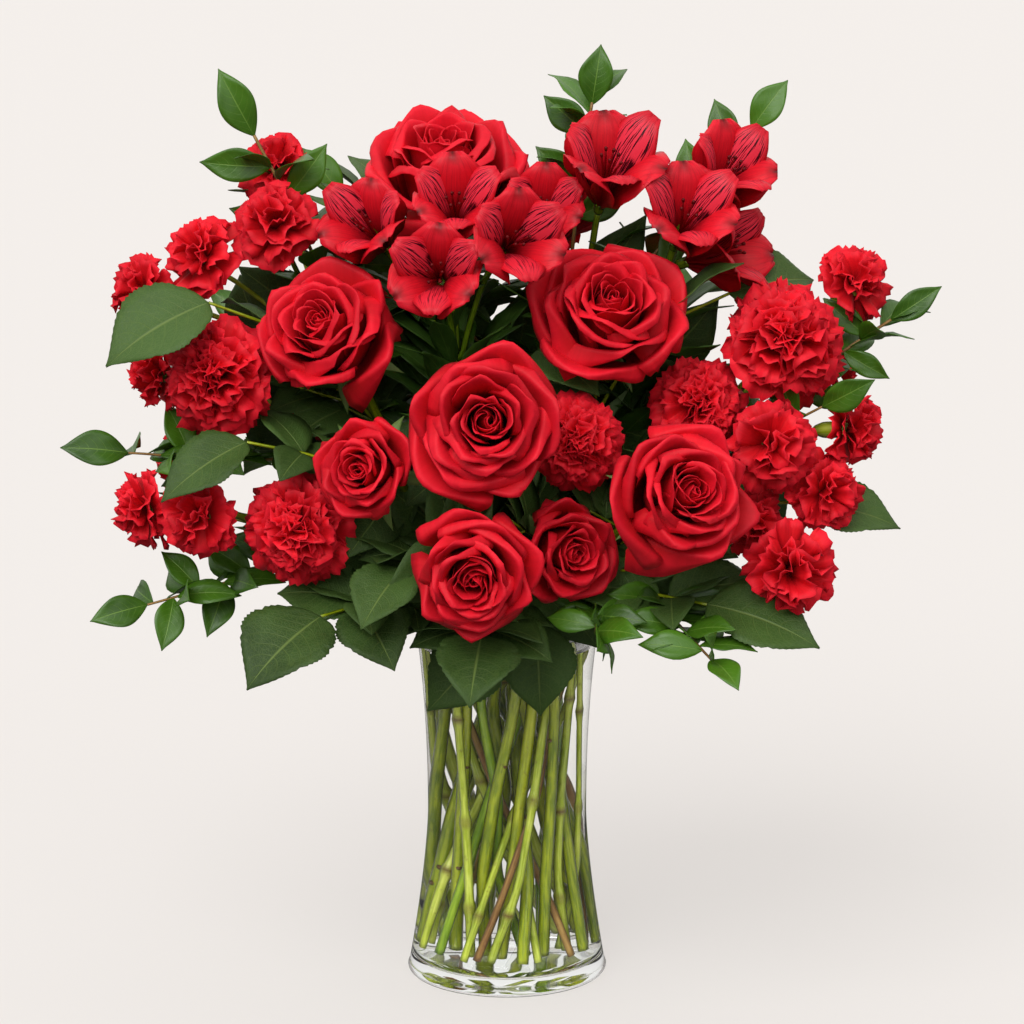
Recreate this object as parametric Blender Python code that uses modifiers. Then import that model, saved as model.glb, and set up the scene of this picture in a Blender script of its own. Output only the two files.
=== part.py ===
"""Red roses in a clear flared glass vase, with carnations, alstroemeria and cut greenery.

Metres, +Z up. The origin is the centre of the vase's foot, on the surface that it stands on, and
-Y is the bouquet's front. Every cut stem stands on the glass floor, crosses the waist of the vase and
carries its own head, so a stem is one solid with the branches and leaves that grow on it.
"""

import math

import bmesh
import bpy
import numpy as np
from mathutils import Matrix, Vector
from mathutils.bvhtree import BVHTree

MM = 0.001
GAP = 0.3 * MM  # left between two pieces that touch
JOIN_NUDGE = 0.03 * MM  # how far a joined piece moves at each further try
JOIN_TRIES = 8

# The vase: a turned glass, widest at its foot and narrowest at its waist.
VASE_HEIGHT = 203 * MM
FOOT_RADIUS = 57.5 * MM
WAIST_RADIUS = 45 * MM
LIP_RADIUS = 51.5 * MM
WAIST_HEIGHT = 95 * MM
GLASS_WALL = 2.6 * MM
GLASS_FLOOR = 9 * MM
FLOOR_CORNER = 6 * MM  # how far the inside corner of the floor rounds inward
WATER_TO_LIP = 9 * MM
FOOT_SWEEP = 1.45  # how suddenly the wall flares below the waist, and above it
LIP_SWEEP = 2.2
VASE_SIDES = 32

# The bouquet: the plan below is in millimetres from the centre of the lip, times this.
SPREAD = 1.0 * MM

# Stem radii.
ROSE_STEM = 3.1 * MM
CARNATION_STEM = 2.3 * MM
SPRAY_STEM = 2.0 * MM
LILY_STEM = 2.5 * MM
WOODY_STEM = 1.9 * MM
TWIG = 1.1 * MM
STEM_CLEARANCE = 1.3 * MM  # water left between two stems
WALL_CLEARANCE = 1.6 * MM  # water left between a stem and the glass

# Head depths, as shares of the head's breadth, and the green cups that hold the heads.
ROSE_DEPTH = 0.60
CARNATION_DEPTH = 0.46
SPRAY_DEPTH = 0.50
LILY_DEPTH = 0.95
HEAD_CENTRE = 0.60  # where a head is broadest, as a share of its depth
LILY_CENTRE = 0.78
HIP_RADIUS = 5.5 * MM
HIP_LENGTH = 9 * MM
CALYX_RADIUS = 7.5 * MM
CALYX_LENGTH = 27 * MM
SMALL_CALYX_RADIUS = 4.6 * MM
SMALL_CALYX_LENGTH = 17 * MM
LILY_CUP_RADIUS = 3.2 * MM
LILY_CUP_LENGTH = 7 * MM

# A leaf is a slim solid with its widest point part of the way along.
LEAF_THICKNESS = 1.2 * MM
LEAF_WIDEST = 0.42
LEAF_CAMBER = 0.07
LEAF_CLEARANCE = 0.5 * MM

# The florist's plan. A head is (place of its face, (turn to the right, rise), breadth): the place is
# (right, back, above the lip) and the turn and rise say where the face looks, in degrees, from the front.
ROSES = (
    ((-37, 5, 268), (0, 66), 102),
    ((-108, -82, 192), (-22, 36), 84),
    ((68, -78, 192), (8, 40), 92),
    ((-11, -152, 148), (0, 14), 88),
    ((-80, -128, 118), (-18, 12), 62),
    ((98, -128, 110), (22, 18), 86),
    ((-14, -156, 64), (0, -2), 76),
    ((40, -112, 70), (24, 4), 66),
    ((-62, 96, 176), (205, 40), 86),
    ((66, 104, 158), (160, 30), 86),
    ((6, 140, 84), (180, 12), 84),
)
CARNATIONS = (
    ((-170, -62, 160), (-38, 18), 66),
    ((-126, -98, 74), (-24, 2), 62),
    ((152, -46, 188), (34, 42), 70),
    ((46, -92, 128), (6, 14), 52),
    ((112, -62, 156), (20, 30), 54),
    ((-126, 62, 120), (230, 25), 62),
    ((132, 66, 108), (130, 25), 62),
)
# A spray is its main head, then its side heads. The last number of a side head says how far up the main
# stem it branches, as a share of the main stem's length above the lip.
SPRAYS = (
    (((-130, 12, 268), (-10, 50), 42), (
        ((-128, -36, 246), (-12, 48), 48, 0.56),
        ((-176, -26, 226), (-40, 40), 46, 0.46),
        ((-214, -20, 200), (-62, 22), 38, 0.36),
    )),
    (((-210, -58, 78), (-62, 2), 42), (
        ((-178, -84, 80), (-30, 2), 46, 0.52),
        ((-206, -18, 150), (-76, 10), 40, 0.32),
        ((-196, 34, 92), (-110, 8), 40, 0.42),
    )),
    (((200, -14, 206), (38, 36), 42), (
        ((202, -48, 118), (66, 6), 44, 0.36),
        ((180, -70, 92), (40, 0), 44, 0.26),
        ((196, 40, 150), (100, 20), 40, 0.46),
    )),
    (((142, -86, 122), (16, 14), 50), (
        ((158, -106, 58), (20, 0), 52, 0.30),
        ((150, -74, 78), (30, 0), 36, 0.42),
    )),
    (((20, 92, 222), (185, 50), 44), (
        ((-24, 150, 130), (190, 20), 42, 0.40),
        ((76, 148, 96), (155, 10), 42, 0.30),
        ((-88, 128, 96), (215, 10), 42, 0.22),
    )),
)
LILIES = (
    (((-36, -96, 222), (-6, 20), 48), (
        ((-80, -44, 244), (-26, 34), 46, 0.56),
        ((-30, -50, 262), (2, 40), 46, 0.64),
        ((8, -92, 236), (16, 22), 50, 0.60),
    )),
    (((56, -36, 278), (14, 52), 54), (
        ((22, -28, 250), (2, 30), 42, 0.58),
        ((44, 44, 250), (150, 50), 46, 0.54),
    )),
    (((104, -44, 250), (14, 40), 50), (
        ((128, -8, 262), (34, 46), 46, 0.64),
        ((138, -18, 224), (64, 20), 46, 0.54),
    )),
)
# Greenery: a woody branch is (place of its tip, leaves, leaf length, leaf width), then its side twigs.
BRANCHES = (
    (((-148, 6, 296), 4, 42, 19), (
        ((-216, -30, 106), 4, 38, 19, 0.22),
        ((-204, -66, 26), 5, 34, 17, 0.10),
    )),
    (((50, 20, 312), 5, 34, 18), (
        ((142, 18, 284), 4, 34, 17, 0.34),
        ((-90, 30, 250), 5, 36, 17, 0.28),
    )),
    (((228, -6, 186), 6, 34, 14), (
        ((176, -52, 138), 5, 36, 16, 0.34),
        ((112, -134, 12), 7, 34, 16, 0.12),
        ((48, -128, 26), 4, 30, 16, 0.06),
    )),
    (((-40, 166, 164), 5, 36, 17), (
        ((120, 118, 174), 5, 36, 17, 0.34),
        ((-150, 100, 158), 5, 36, 17, 0.26),
        ((170, 82, 60), 5, 36, 17, 0.14),
    )),
)
# A compound leaf grows on a rose stem: (rose, how far up the stem above the lip, as a share, tip of the
# leaf's stalk, leaflets, length, width).
ROSE_LEAVES = (
    (2, 0.50, (-168, -52, 196), 1, 66, 50),
    (5, 0.46, (-146, -74, 122), 1, 58, 34),
    (5, 0.16, (-104, -104, 30), 3, 62, 48),
    (7, 0.18, (-14, -108, 20), 3, 54, 42),
    (3, 0.56, (128, -12, 196), 1, 58, 44),
    (6, 0.18, (112, -92, 34), 3, 66, 44),
    (4, 0.34, (-58, -100, 56), 3, 50, 34),
    (6, 0.60, (168, -58, 84), 1, 60, 34),
    (9, 0.40, (-118, 84, 90), 3, 56, 42),
    (10, 0.36, (128, 92, 60), 3, 56, 42),
    (11, 0.24, (-30, 112, 28), 3, 58, 44),
    (1, 0.56, (-62, 46, 206), 3, 48, 34),
    (3, 0.36, (16, -40, 168), 3, 50, 30),
)


# Geometry helpers.


def direction(turn, rise):
    """The unit vector that looks turn degrees to the right of the front and rise degrees up."""
    turn, rise = math.radians(turn), math.radians(rise)
    level = math.cos(rise)
    return Vector((math.sin(turn) * level, -math.cos(turn) * level, math.sin(rise)))


def from_lip(place):
    """A place in the plan, in the object's frame."""
    return Vector(place) * SPREAD + Vector((0, 0, VASE_HEIGHT))


def outer_radius(height):
    """The outside of the glass at this height above the foot."""
    if height < WAIST_HEIGHT:
        share = (WAIST_HEIGHT - height) / WAIST_HEIGHT
        return WAIST_RADIUS + (FOOT_RADIUS - WAIST_RADIUS) * share**FOOT_SWEEP
    share = (height - WAIST_HEIGHT) / (VASE_HEIGHT - WAIST_HEIGHT)
    return WAIST_RADIUS + (LIP_RADIUS - WAIST_RADIUS) * share**LIP_SWEEP


def bezier(start, start_pull, end_pull, end, count):
    """Points along a cubic curve, the first and last included."""
    points = []
    for index in range(count):
        t = index / (count - 1)
        s = 1 - t
        points.append(start * s**3 + start_pull * 3 * s * s * t + end_pull * 3 * s * t * t + end * t**3)
    return points


def along(points, share):
    """The point at a share of a path's length, with the path's direction there."""
    steps = [(b - a).length for a, b in zip(points, points[1:])]
    left = share * sum(steps)
    for a, b, step in zip(points, points[1:], steps):
        if left <= step:
            return a.lerp(b, left / step), (b - a).normalized()
        left -= step
    return points[-1].copy(), (points[-1] - points[-2]).normalized()


def upright(axis):
    """A rotation that turns +Z to the axis."""
    return axis.to_track_quat("Z", "Y").to_matrix().to_4x4()


# Shoots: every stem and side branch is a path that the layout below eases clear of the others.


class Shoot:
    """A stem or a side branch: its path, its thickness, and the head that it ends in."""

    def __init__(self, node, radius, points, head=None, parent=None, share=0.0):
        self.node = node
        self.radius = radius
        self.points = points
        self.head = head
        self.parent = parent
        self.share = share
        self.leaves = None  # how many down a shoot, and their length and width
        self.leaflets = None  # how many on a leaf's stalk, and their length and width


class Head:
    """A flower head: which way it faces, its size, where it is broadest, and the cup under it."""

    def __init__(self, axis, breadth, depth, centre, cup_radius, cup_length):
        self.axis = axis
        self.radius = breadth / 2
        self.depth = depth
        self.centre = centre
        self.cup_radius = cup_radius
        self.cup_length = cup_length


def head_of(plan, depth_share, centre, cup_radius, cup_length):
    """The head that a line of the plan describes, and the place of its base."""
    place, facing, breadth = plan[:3]
    axis = direction(*facing)
    depth = breadth * SPREAD * depth_share
    head = Head(axis, breadth * SPREAD, depth, centre, cup_radius, cup_length)
    return head, from_lip(place) - axis * depth


STEM_STANCE = 0.55  # how far from the centre a foot stands, as a share of the glass floor's radius
FOOT_TURN = 137.5  # each foot stands this many degrees round from the one before
POINTS_IN_VASE = 5
POINTS_ABOVE = 5


def main_stem(node, radius, index, tip, axis, head=None):
    """A stem from the glass floor, through the mouth, to its tip, which it reaches along the axis."""
    lean = Vector((tip.x, tip.y, 0))
    reach = min(1, lean.length / (170 * SPREAD))
    mouth = lean.normalized() * (LIP_RADIUS - 13 * MM) * reach + Vector((0, 0, VASE_HEIGHT + 2 * MM))
    stance = (outer_radius(GLASS_FLOOR) - GLASS_WALL) * (STEM_STANCE + 0.2 * math.sin(index * 2.4))
    turn = math.radians(index * FOOT_TURN)
    foot = Vector((math.cos(turn), math.sin(turn), 0)) * stance - lean.normalized() * 8 * MM
    foot.z = GLASS_FLOOR + GAP + radius
    low = [foot.lerp(mouth, step / (POINTS_IN_VASE - 1)) for step in range(POINTS_IN_VASE)]
    rise = (tip - mouth).length
    start_pull = mouth + ((mouth - foot).normalized() * 0.3 + (tip - mouth).normalized() * 0.7) * rise * 0.4
    high = bezier(mouth, start_pull, tip - axis * rise * 0.35, tip, POINTS_ABOVE + 1)
    return Shoot(node, radius, low + high[1:], head)


def above_lip(stem):
    """The part of a main stem's path that is above the lip."""
    return stem.points[POINTS_IN_VASE - 1:]


def side_shoot(node, radius, parent, share, tip, axis, head=None, count=4):
    """A branch that leaves its parent at a share of the parent's length above the lip."""
    start, heading = along(above_lip(parent), share)
    rise = (tip - start).length
    points = bezier(start, start + heading * rise * 0.35, tip - axis * rise * 0.35, tip, count)
    return Shoot(node, radius, points, head, parent, share)


def plan_shoots():
    """Every shoot of the bouquet, main stems before their branches."""
    shoots = []
    foot_index = 0

    def add(shoot):
        shoots.append(shoot)
        return shoot

    for number, plan in enumerate(ROSES, 1):
        head, base = head_of(plan, ROSE_DEPTH, HEAD_CENTRE, HIP_RADIUS, HIP_LENGTH)
        add(main_stem(f"rose_stem_{number}", ROSE_STEM, foot_index, base, head.axis, head))
        foot_index += 1
    for number, plan in enumerate(CARNATIONS, 1):
        head, base = head_of(plan, CARNATION_DEPTH, HEAD_CENTRE, CALYX_RADIUS, CALYX_LENGTH)
        add(main_stem(f"carnation_stem_{number}", CARNATION_STEM, foot_index, base, head.axis, head))
        foot_index += 1
    small_head = (SPRAY_DEPTH, HEAD_CENTRE, SMALL_CALYX_RADIUS, SMALL_CALYX_LENGTH)
    lily_head = (LILY_DEPTH, LILY_CENTRE, LILY_CUP_RADIUS, LILY_CUP_LENGTH)
    for kind, plans, radius, shape in (
        ("mini_carnation_spray", SPRAYS, SPRAY_STEM, small_head),
        ("alstroemeria_stem", LILIES, LILY_STEM, lily_head),
    ):
        for number, (main, sides) in enumerate(plans, 1):
            head, base = head_of(main, *shape)
            stem = add(main_stem(f"{kind}_{number}", radius, foot_index, base, head.axis, head))
            foot_index += 1
            for side in sides:
                head, base = head_of(side, *shape)
                add(side_shoot(stem.node, radius * 0.7, stem, side[3], base, head.axis, head))
    for number, (main, twigs) in enumerate(BRANCHES, 1):
        tip = from_lip(main[0])
        outward = (tip - from_lip((0, 0, 40))).normalized()
        stem = add(main_stem(f"green_branch_{number}", WOODY_STEM, foot_index, tip, outward))
        stem.leaves = main[1:4]
        foot_index += 1
        for twig in twigs:
            tip = from_lip(twig[0])
            outward = (tip - from_lip((0, 0, 20))).normalized()
            branch = add(side_shoot(stem.node, TWIG, stem, twig[4], tip, outward))
            branch.leaves = twig[1:4]
    for rose, share, place, *leaflets in ROSE_LEAVES:
        stem = next(shoot for shoot in shoots if shoot.node == f"rose_stem_{rose}")
        tip = from_lip(place)
        outward = Vector((tip.x, tip.y, 30 * MM)).normalized()
        stalk = add(side_shoot(stem.node, TWIG, stem, share, tip, outward))
        stalk.leaflets = leaflets
    return shoots


# Layout: stems are eased apart, and away from the heads and the glass, until they all clear.

EASING_ROUNDS = 420
SMOOTH_ROUNDS = 280
SMOOTHING = 0.25
HEAD_FILL = 1.0  # how much of a head's breadth pushes its neighbours away


def nearest_on_segments(p, q, a, b):
    """For each pair of segments p-q and a-b, the shares along both where they are nearest."""
    d1, d2, r = q - p, b - a, p - a
    len1, len2 = (d1 * d1).sum(1), (d2 * d2).sum(1)
    f, c, mixed = (d2 * r).sum(1), (d1 * r).sum(1), (d1 * d2).sum(1)
    spread = np.maximum(len1 * len2 - mixed * mixed, 1e-18)
    s = np.clip((mixed * f - c * len2) / spread, 0, 1)
    t = np.clip((mixed * s + f) / np.maximum(len2, 1e-18), 0, 1)
    s = np.clip((mixed * t - c) / np.maximum(len1, 1e-18), 0, 1)
    return s, t


def lip_ring():
    """Points round the middle of the lip, which stems must pass clear of."""
    radius = LIP_RADIUS - GLASS_WALL / 2
    turns = [2 * math.pi * step / VASE_SIDES for step in range(VASE_SIDES)]
    return [Vector((math.cos(t) * radius, math.sin(t) * radius, VASE_HEIGHT - GLASS_WALL / 2)) for t in turns]


def ease_apart(shoots):
    """Moves the shoots' points until stems, heads and glass clear one another."""
    nodes = {name: number for number, name in enumerate(dict.fromkeys(s.node for s in shoots))}
    places, firsts = [], []
    for shoot in shoots:
        firsts.append(len(places))
        places += [tuple(point) for point in shoot.points]
    ring_first = len(places)
    ring = lip_ring()
    places += [tuple(point) for point in ring]
    places = np.array(places)
    start = places.copy()

    segments, thick, owner = [], [], []
    for first, shoot in zip(firsts, shoots):
        last = len(shoot.points) - 1
        for step in range(last):
            segments.append((first + step, first + step + 1))
            at_head = shoot.head is not None and step == last - 1
            thick.append(shoot.head.cup_radius if at_head else shoot.radius)
            owner.append(nodes[shoot.node])
    for step in range(len(ring)):
        segments.append((ring_first + step, ring_first + (step + 1) % len(ring)))
        thick.append(GLASS_WALL / 2 + GAP)
        owner.append(-1)
    segments, thick, owner = np.array(segments), np.array(thick), np.array(owner)
    one, two = np.triu_indices(len(segments), 1)
    apart = (owner[one] != owner[two])
    one, two = one[apart], two[apart]
    need = thick[one] + thick[two] + STEM_CLEARANCE
    yielding = np.where(owner[two] < 0, 1.0, 0.5)  # the lip stays put, so a stem does all the moving

    heads = [(first + len(s.points) - 1, s) for first, s in zip(firsts, shoots) if s.head]
    tip_of = np.array([tip for tip, _ in heads])
    offset = np.array([tuple(s.head.axis * s.head.depth * s.head.centre) for _, s in heads])
    ball = np.array([s.head.radius * HEAD_FILL for _, s in heads])
    head_owner = np.array([nodes[s.node] for _, s in heads])
    head_one, head_two = np.triu_indices(len(heads), 1)
    by_stem, by_head = np.meshgrid(np.arange(len(segments)), np.arange(len(heads)), indexing="ij")
    other = owner[by_stem.ravel()] != head_owner[by_head.ravel()]
    by_stem, by_head = by_stem.ravel()[other], by_head.ravel()[other]

    radius_at = np.zeros(len(places))
    for first, shoot in zip(firsts, shoots):
        radius_at[first:first + len(shoot.points)] = shoot.radius
    stems = [first for first, shoot in zip(firsts, shoots) if shoot.parent is None]
    low = np.array([first + step for first in stems for step in range(POINTS_IN_VASE)])
    inner = slice(0, ring_first)
    first_of = dict(zip(map(id, shoots), firsts))

    for turn in range(EASING_ROUNDS):
        push = np.zeros_like(places)
        a, b = segments[one], segments[two]
        s, t = nearest_on_segments(places[a[:, 0]], places[a[:, 1]], places[b[:, 0]], places[b[:, 1]])
        s, t = s[:, None], t[:, None]
        on_one = places[a[:, 0]] * (1 - s) + places[a[:, 1]] * s
        on_two = places[b[:, 0]] * (1 - t) + places[b[:, 1]] * t
        across = on_one - on_two
        gap = np.maximum(np.linalg.norm(across, axis=1), 1e-7)
        near = gap < need
        shove = (across * ((need - gap) / gap * yielding)[:, None])[near]
        for ends, share, sign in ((a[near], s[near], 1), (b[near], t[near], -1)):
            lever = share * share + (1 - share) * (1 - share)
            np.add.at(push, ends[:, 0], sign * shove * (1 - share) / lever)
            np.add.at(push, ends[:, 1], sign * shove * share / lever)

        centre = places[tip_of] + offset
        across = centre[head_one] - centre[head_two]
        gap = np.maximum(np.linalg.norm(across, axis=1), 1e-7)
        wanted = ball[head_one] + ball[head_two]
        near = gap < wanted
        shove = (across * ((wanted - gap) / gap * 0.5)[:, None])[near]
        np.add.at(push, tip_of[head_one[near]], shove)
        np.add.at(push, tip_of[head_two[near]], -shove)

        a = segments[by_stem]
        middle = centre[by_head]
        run = places[a[:, 1]] - places[a[:, 0]]
        length = np.maximum((run * run).sum(1), 1e-12)
        share = np.clip(((middle - places[a[:, 0]]) * run).sum(1) / length, 0, 1)[:, None]
        across = places[a[:, 0]] + run * share - middle
        gap = np.maximum(np.linalg.norm(across, axis=1), 1e-7)
        wanted = ball[by_head] + thick[by_stem] + GAP
        near = gap < wanted
        shove = (across * ((wanted - gap) / gap * 0.5)[:, None])[near]
        np.add.at(push, a[near][:, 0], shove * (1 - share[near]))
        np.add.at(push, a[near][:, 1], shove * share[near])
        np.add.at(push, tip_of[by_head[near]], -shove * 0.3)

        places[inner] += np.clip(push[inner] * 0.6, -4 * MM, 4 * MM)
        drift = places - start
        for first, shoot in zip(firsts, shoots):
            last = first + len(shoot.points) - 1
            between = slice(first + 1, last)
            even = (drift[first:last - 1] + drift[first + 2:last + 1]) / 2
            if turn < SMOOTH_ROUNDS:
                drift[between] += (even - drift[between]) * SMOOTHING
        places[inner] = (start + drift)[inner]

        for first, shoot in zip(firsts, shoots):
            if shoot.parent is not None:
                home = first_of[id(shoot.parent)]
                stem = places[home + POINTS_IN_VASE - 1:home + len(shoot.parent.points)]
                places[first] = along([Vector(p) for p in stem], shoot.share)[0]
        places[low, 2] = start[low, 2]
        for index in low:
            room = outer_radius(min(places[index, 2], VASE_HEIGHT)) - GLASS_WALL
            room -= radius_at[index] + WALL_CLEARANCE
            room -= FLOOR_CORNER if places[index, 2] < GLASS_FLOOR + FLOOR_CORNER else 0
            from_axis = math.hypot(places[index, 0], places[index, 1])
            if from_axis > room:
                places[index, :2] *= room / from_axis

    for first, shoot in zip(firsts, shoots):
        shoot.points = [Vector(p) for p in places[first:first + len(shoot.points)]]


# Solids.


def material(name, colour, roughness, transmission=0.0):
    made = bpy.data.materials.new(name)
    made.use_nodes = True
    shader = made.node_tree.nodes["Principled BSDF"]
    shader.inputs["Base Color"].default_value = (*colour, 1)
    shader.inputs["Roughness"].default_value = roughness
    shader.inputs["Transmission Weight"].default_value = transmission
    return made


def link(obj, shade, collection):
    collection.objects.link(obj)
    obj.data.materials.append(shade)
    return obj


def turned(name, profile, sides, shade, collection):
    """A turned solid. The profile is (radius, height) points, down its outer side from top to bottom."""
    mesh = bpy.data.meshes.new(name)
    steps = [(index, index + 1) for index in range(len(profile) - 1)]
    mesh.from_pydata([(radius, 0, height) for radius, height in profile], steps, [])
    obj = link(bpy.data.objects.new(name, mesh), shade, collection)
    screw = obj.modifiers.new("Turn", "SCREW")
    screw.steps = screw.render_steps = sides
    screw.use_merge_vertices = True
    screw.merge_threshold = 0.00001
    return obj


def tube(name, points, radii, shade, collection, sides=6):
    """A round solid along the points, with a radius at each."""
    curve = bpy.data.curves.new(name, "CURVE")
    curve.dimensions = "3D"
    curve.bevel_depth = 1.0
    curve.bevel_resolution = sides // 2 - 2
    curve.use_fill_caps = True
    spline = curve.splines.new("POLY")
    spline.points.add(len(points) - 1)
    for target, point, radius in zip(spline.points, points, radii):
        target.co = (*point, 1)
        target.radius = radius
    return as_mesh(link(bpy.data.objects.new(name, curve), shade, collection), collection)


def as_mesh(obj, collection):
    """The object as one closed mesh, with its modifiers applied."""
    bpy.context.view_layer.update()
    graph = bpy.context.evaluated_depsgraph_get()
    mesh = bpy.data.meshes.new_from_object(obj.evaluated_get(graph))
    name, place = obj.name, obj.matrix_world.copy()
    bpy.data.objects.remove(obj)
    shape = bmesh.new()
    shape.from_mesh(mesh)
    bmesh.ops.remove_doubles(shape, verts=shape.verts, dist=0.01 * MM)
    bmesh.ops.recalc_face_normals(shape, faces=shape.faces)
    shape.to_mesh(mesh)
    shape.free()
    made = bpy.data.objects.new(name, mesh)
    made.matrix_world = place
    collection.objects.link(made)
    return made


def leaf_solid(name, base, tip, normal, width, shade, collection):
    """A slim cambered blade: a blunt base edge, two side corners, the rib above and below, and a tip."""
    run = tip - base
    side = normal.cross(run).normalized() * width / 2
    up = side.cross(run).normalized()
    up = up if up.dot(normal) > 0 else -up
    widest = base + run * LEAF_WIDEST + up * run.length * LEAF_CAMBER
    half = up * LEAF_THICKNESS / 2
    corners = [base + half, base - half, widest + side, widest - side, widest + half, widest - half, tip]
    above = [(0, 4, 2), (0, 3, 4), (2, 4, 6), (4, 3, 6)]
    below = [(1, 2, 5), (1, 5, 3), (5, 2, 6), (5, 6, 3)]
    base_edge = [(0, 2, 1), (0, 1, 3)]
    mesh = bpy.data.meshes.new(name)
    mesh.from_pydata(corners, [], above + below + base_edge)
    shape = bmesh.new()
    shape.from_mesh(mesh)
    bmesh.ops.recalc_face_normals(shape, faces=shape.faces)
    shape.to_mesh(mesh)
    shape.free()
    return link(bpy.data.objects.new(name, mesh), shade, collection)


def is_closed(obj):
    """Whether every edge of the object's mesh joins exactly two faces."""
    shape = bmesh.new()
    shape.from_mesh(obj.data)
    closed = all(len(edge.link_faces) == 2 for edge in shape.edges)
    shape.free()
    return closed


def fuse(name, pieces, shade, collection):
    """Joins overlapping solids into one closed body.

    Two surfaces that only graze each other can tear the joint. The pieces are then joined again, each moved
    a few hundredths of a millimetre aside.
    """
    base, others = pieces[0], pieces[1:]
    homes = [piece.location.copy() for piece in others]
    for piece in others:
        join = base.modifiers.new("Join", "BOOLEAN")
        join.operation = "UNION"
        join.object = piece
    for attempt in range(JOIN_TRIES):
        for index, (piece, home) in enumerate(zip(others, homes)):
            piece.location = home + direction(FOOT_TURN * index, 20) * JOIN_NUDGE * attempt
        trial = base.copy()
        collection.objects.link(trial)
        made = as_mesh(trial, collection)
        if is_closed(made) or attempt == JOIN_TRIES - 1:
            break
        bpy.data.objects.remove(made)
    for piece in pieces:
        bpy.data.objects.remove(piece)
    made.name = name
    made.data.name = name
    made.data.materials.clear()
    made.data.materials.append(shade)
    return made


def surface_tree(obj, clearance):
    """The object's surface, for asking what it touches."""
    points = [obj.matrix_world @ vertex.co for vertex in obj.data.vertices]
    faces = [tuple(face.vertices) for face in obj.data.polygons]
    return BVHTree.FromPolygons(points, faces, epsilon=clearance)


# The vase and its water.


def vase_profile():
    """The glass, from the lip down the outside, across the foot, and up the inside to the lip."""
    heel = 4 * MM
    heights = [VASE_HEIGHT - 1.2 * MM, 178 * MM, 145 * MM, WAIST_HEIGHT, 55 * MM, heel]
    inside = [GLASS_FLOOR + FLOOR_CORNER, 55 * MM, WAIST_HEIGHT, 145 * MM, 178 * MM, VASE_HEIGHT - 1.2 * MM]
    profile = [(LIP_RADIUS - GLASS_WALL / 2, VASE_HEIGHT)]
    profile += [(outer_radius(z), z) for z in heights]
    profile += [(FOOT_RADIUS - heel, 0), (0, 0)]
    within = [(0, GLASS_FLOOR), (outer_radius(GLASS_FLOOR) - GLASS_WALL - FLOOR_CORNER, GLASS_FLOOR)]
    within += [(outer_radius(z) - GLASS_WALL, z) for z in inside]
    return profile, within


def build_vase(shade, collection):
    """A turned glass. Its outside and inside are one closed profile round the axis."""
    outside, within = vase_profile()
    return turned("vase", outside + within + [outside[0]], VASE_SIDES, shade, collection)


def build_water(shoots, shade, collection):
    """The water: it fills the glass to under the lip, and each stem stands in a channel through it."""
    _, within = vase_profile()
    top = VASE_HEIGHT - WATER_TO_LIP
    wall = [(radius - GAP, height) for radius, height in within[1:] if height < top]
    wall[0] = (within[1][0] - GAP, within[1][1] + GAP)
    rim = (outer_radius(top) - GLASS_WALL - GAP, top)
    profile = [(0, top), rim] + wall[::-1] + [(0, within[0][1] + GAP)]
    water = as_mesh(turned("water", profile, VASE_SIDES, shade, collection), collection)
    cutters = []
    for shoot in shoots:
        if shoot.parent is not None:
            continue
        low = shoot.points[:POINTS_IN_VASE]
        first = low[0] + (low[0] - low[1]).normalized() * 8 * MM
        points = [first] + low[1:]
        cutter = tube("channel", points, [shoot.radius + GAP] * len(points), shade, collection)
        cut = water.modifiers.new("Channel", "BOOLEAN")
        cut.operation = "DIFFERENCE"
        cut.object = cutter
        cutters.append(cutter)
    made = as_mesh(water, collection)
    for cutter in cutters:
        bpy.data.objects.remove(cutter)
    return made


# Heads.


def rose_profile(radius, depth):
    return [(0, depth * 0.90), (radius * 0.62, depth), (radius, depth * 0.82), (radius * 0.86, depth * 0.36),
            (HIP_RADIUS, 0), (0, 0)]


def carnation_profile(radius, depth):
    return [(0, depth), (radius * 0.62, depth * 0.90), (radius, depth * 0.42), (CALYX_RADIUS, 0), (0, 0)]


def spray_profile(radius, depth):
    return [(0, depth), (radius * 0.62, depth * 0.92), (radius, depth * 0.50),
            (SMALL_CALYX_RADIUS * 0.8, 0), (0, 0)]


def lily_profile(radius, depth):
    return [(0, depth * 0.80), (radius * 0.62, depth), (radius, depth * 0.88), (radius * 0.36, depth * 0.34),
            (LILY_CUP_RADIUS * 0.8, 0), (0, 0)]


def head_solid(name, shoot, profile, sides, lift, shade, collection):
    """A turned head on the end of its shoot, facing along its axis."""
    obj = turned(name, profile(shoot.head.radius, shoot.head.depth), sides, shade, collection)
    place = shoot.points[-1] + shoot.head.axis * lift
    obj.matrix_world = Matrix.Translation(place) @ upright(shoot.head.axis)
    return obj


def stem_tube(shoot, shade, collection):
    """The shoot itself. Under a head it ends inside the cup."""
    points = list(shoot.points)
    if shoot.head is not None:
        points[-1] = points[-1] - shoot.head.axis * shoot.head.cup_length * 0.4
    sides = 6 if shoot.parent is None else 4
    return tube("stem", points, [shoot.radius] * len(points), shade, collection, sides)


def cup(shoot, sink, shade, collection):
    """The green cup under a head: the end of the shoot swells into it."""
    end = shoot.points[-1]
    axis = shoot.head.axis
    length, wide = shoot.head.cup_length, shoot.head.cup_radius
    points = [end - axis * length, end - axis * length * 0.72, end + axis * sink]
    return tube("cup", points, [shoot.radius * 0.9, wide * 0.94, wide], shade, collection)


# Leaves.

ROLLS = (0, 24, -24, 48, -48, 72, -72, 100, -100)
LEAF_ROOT = 0.96  # where the leaf at the end of a shoot is rooted, as a share of the shoot's length


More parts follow.
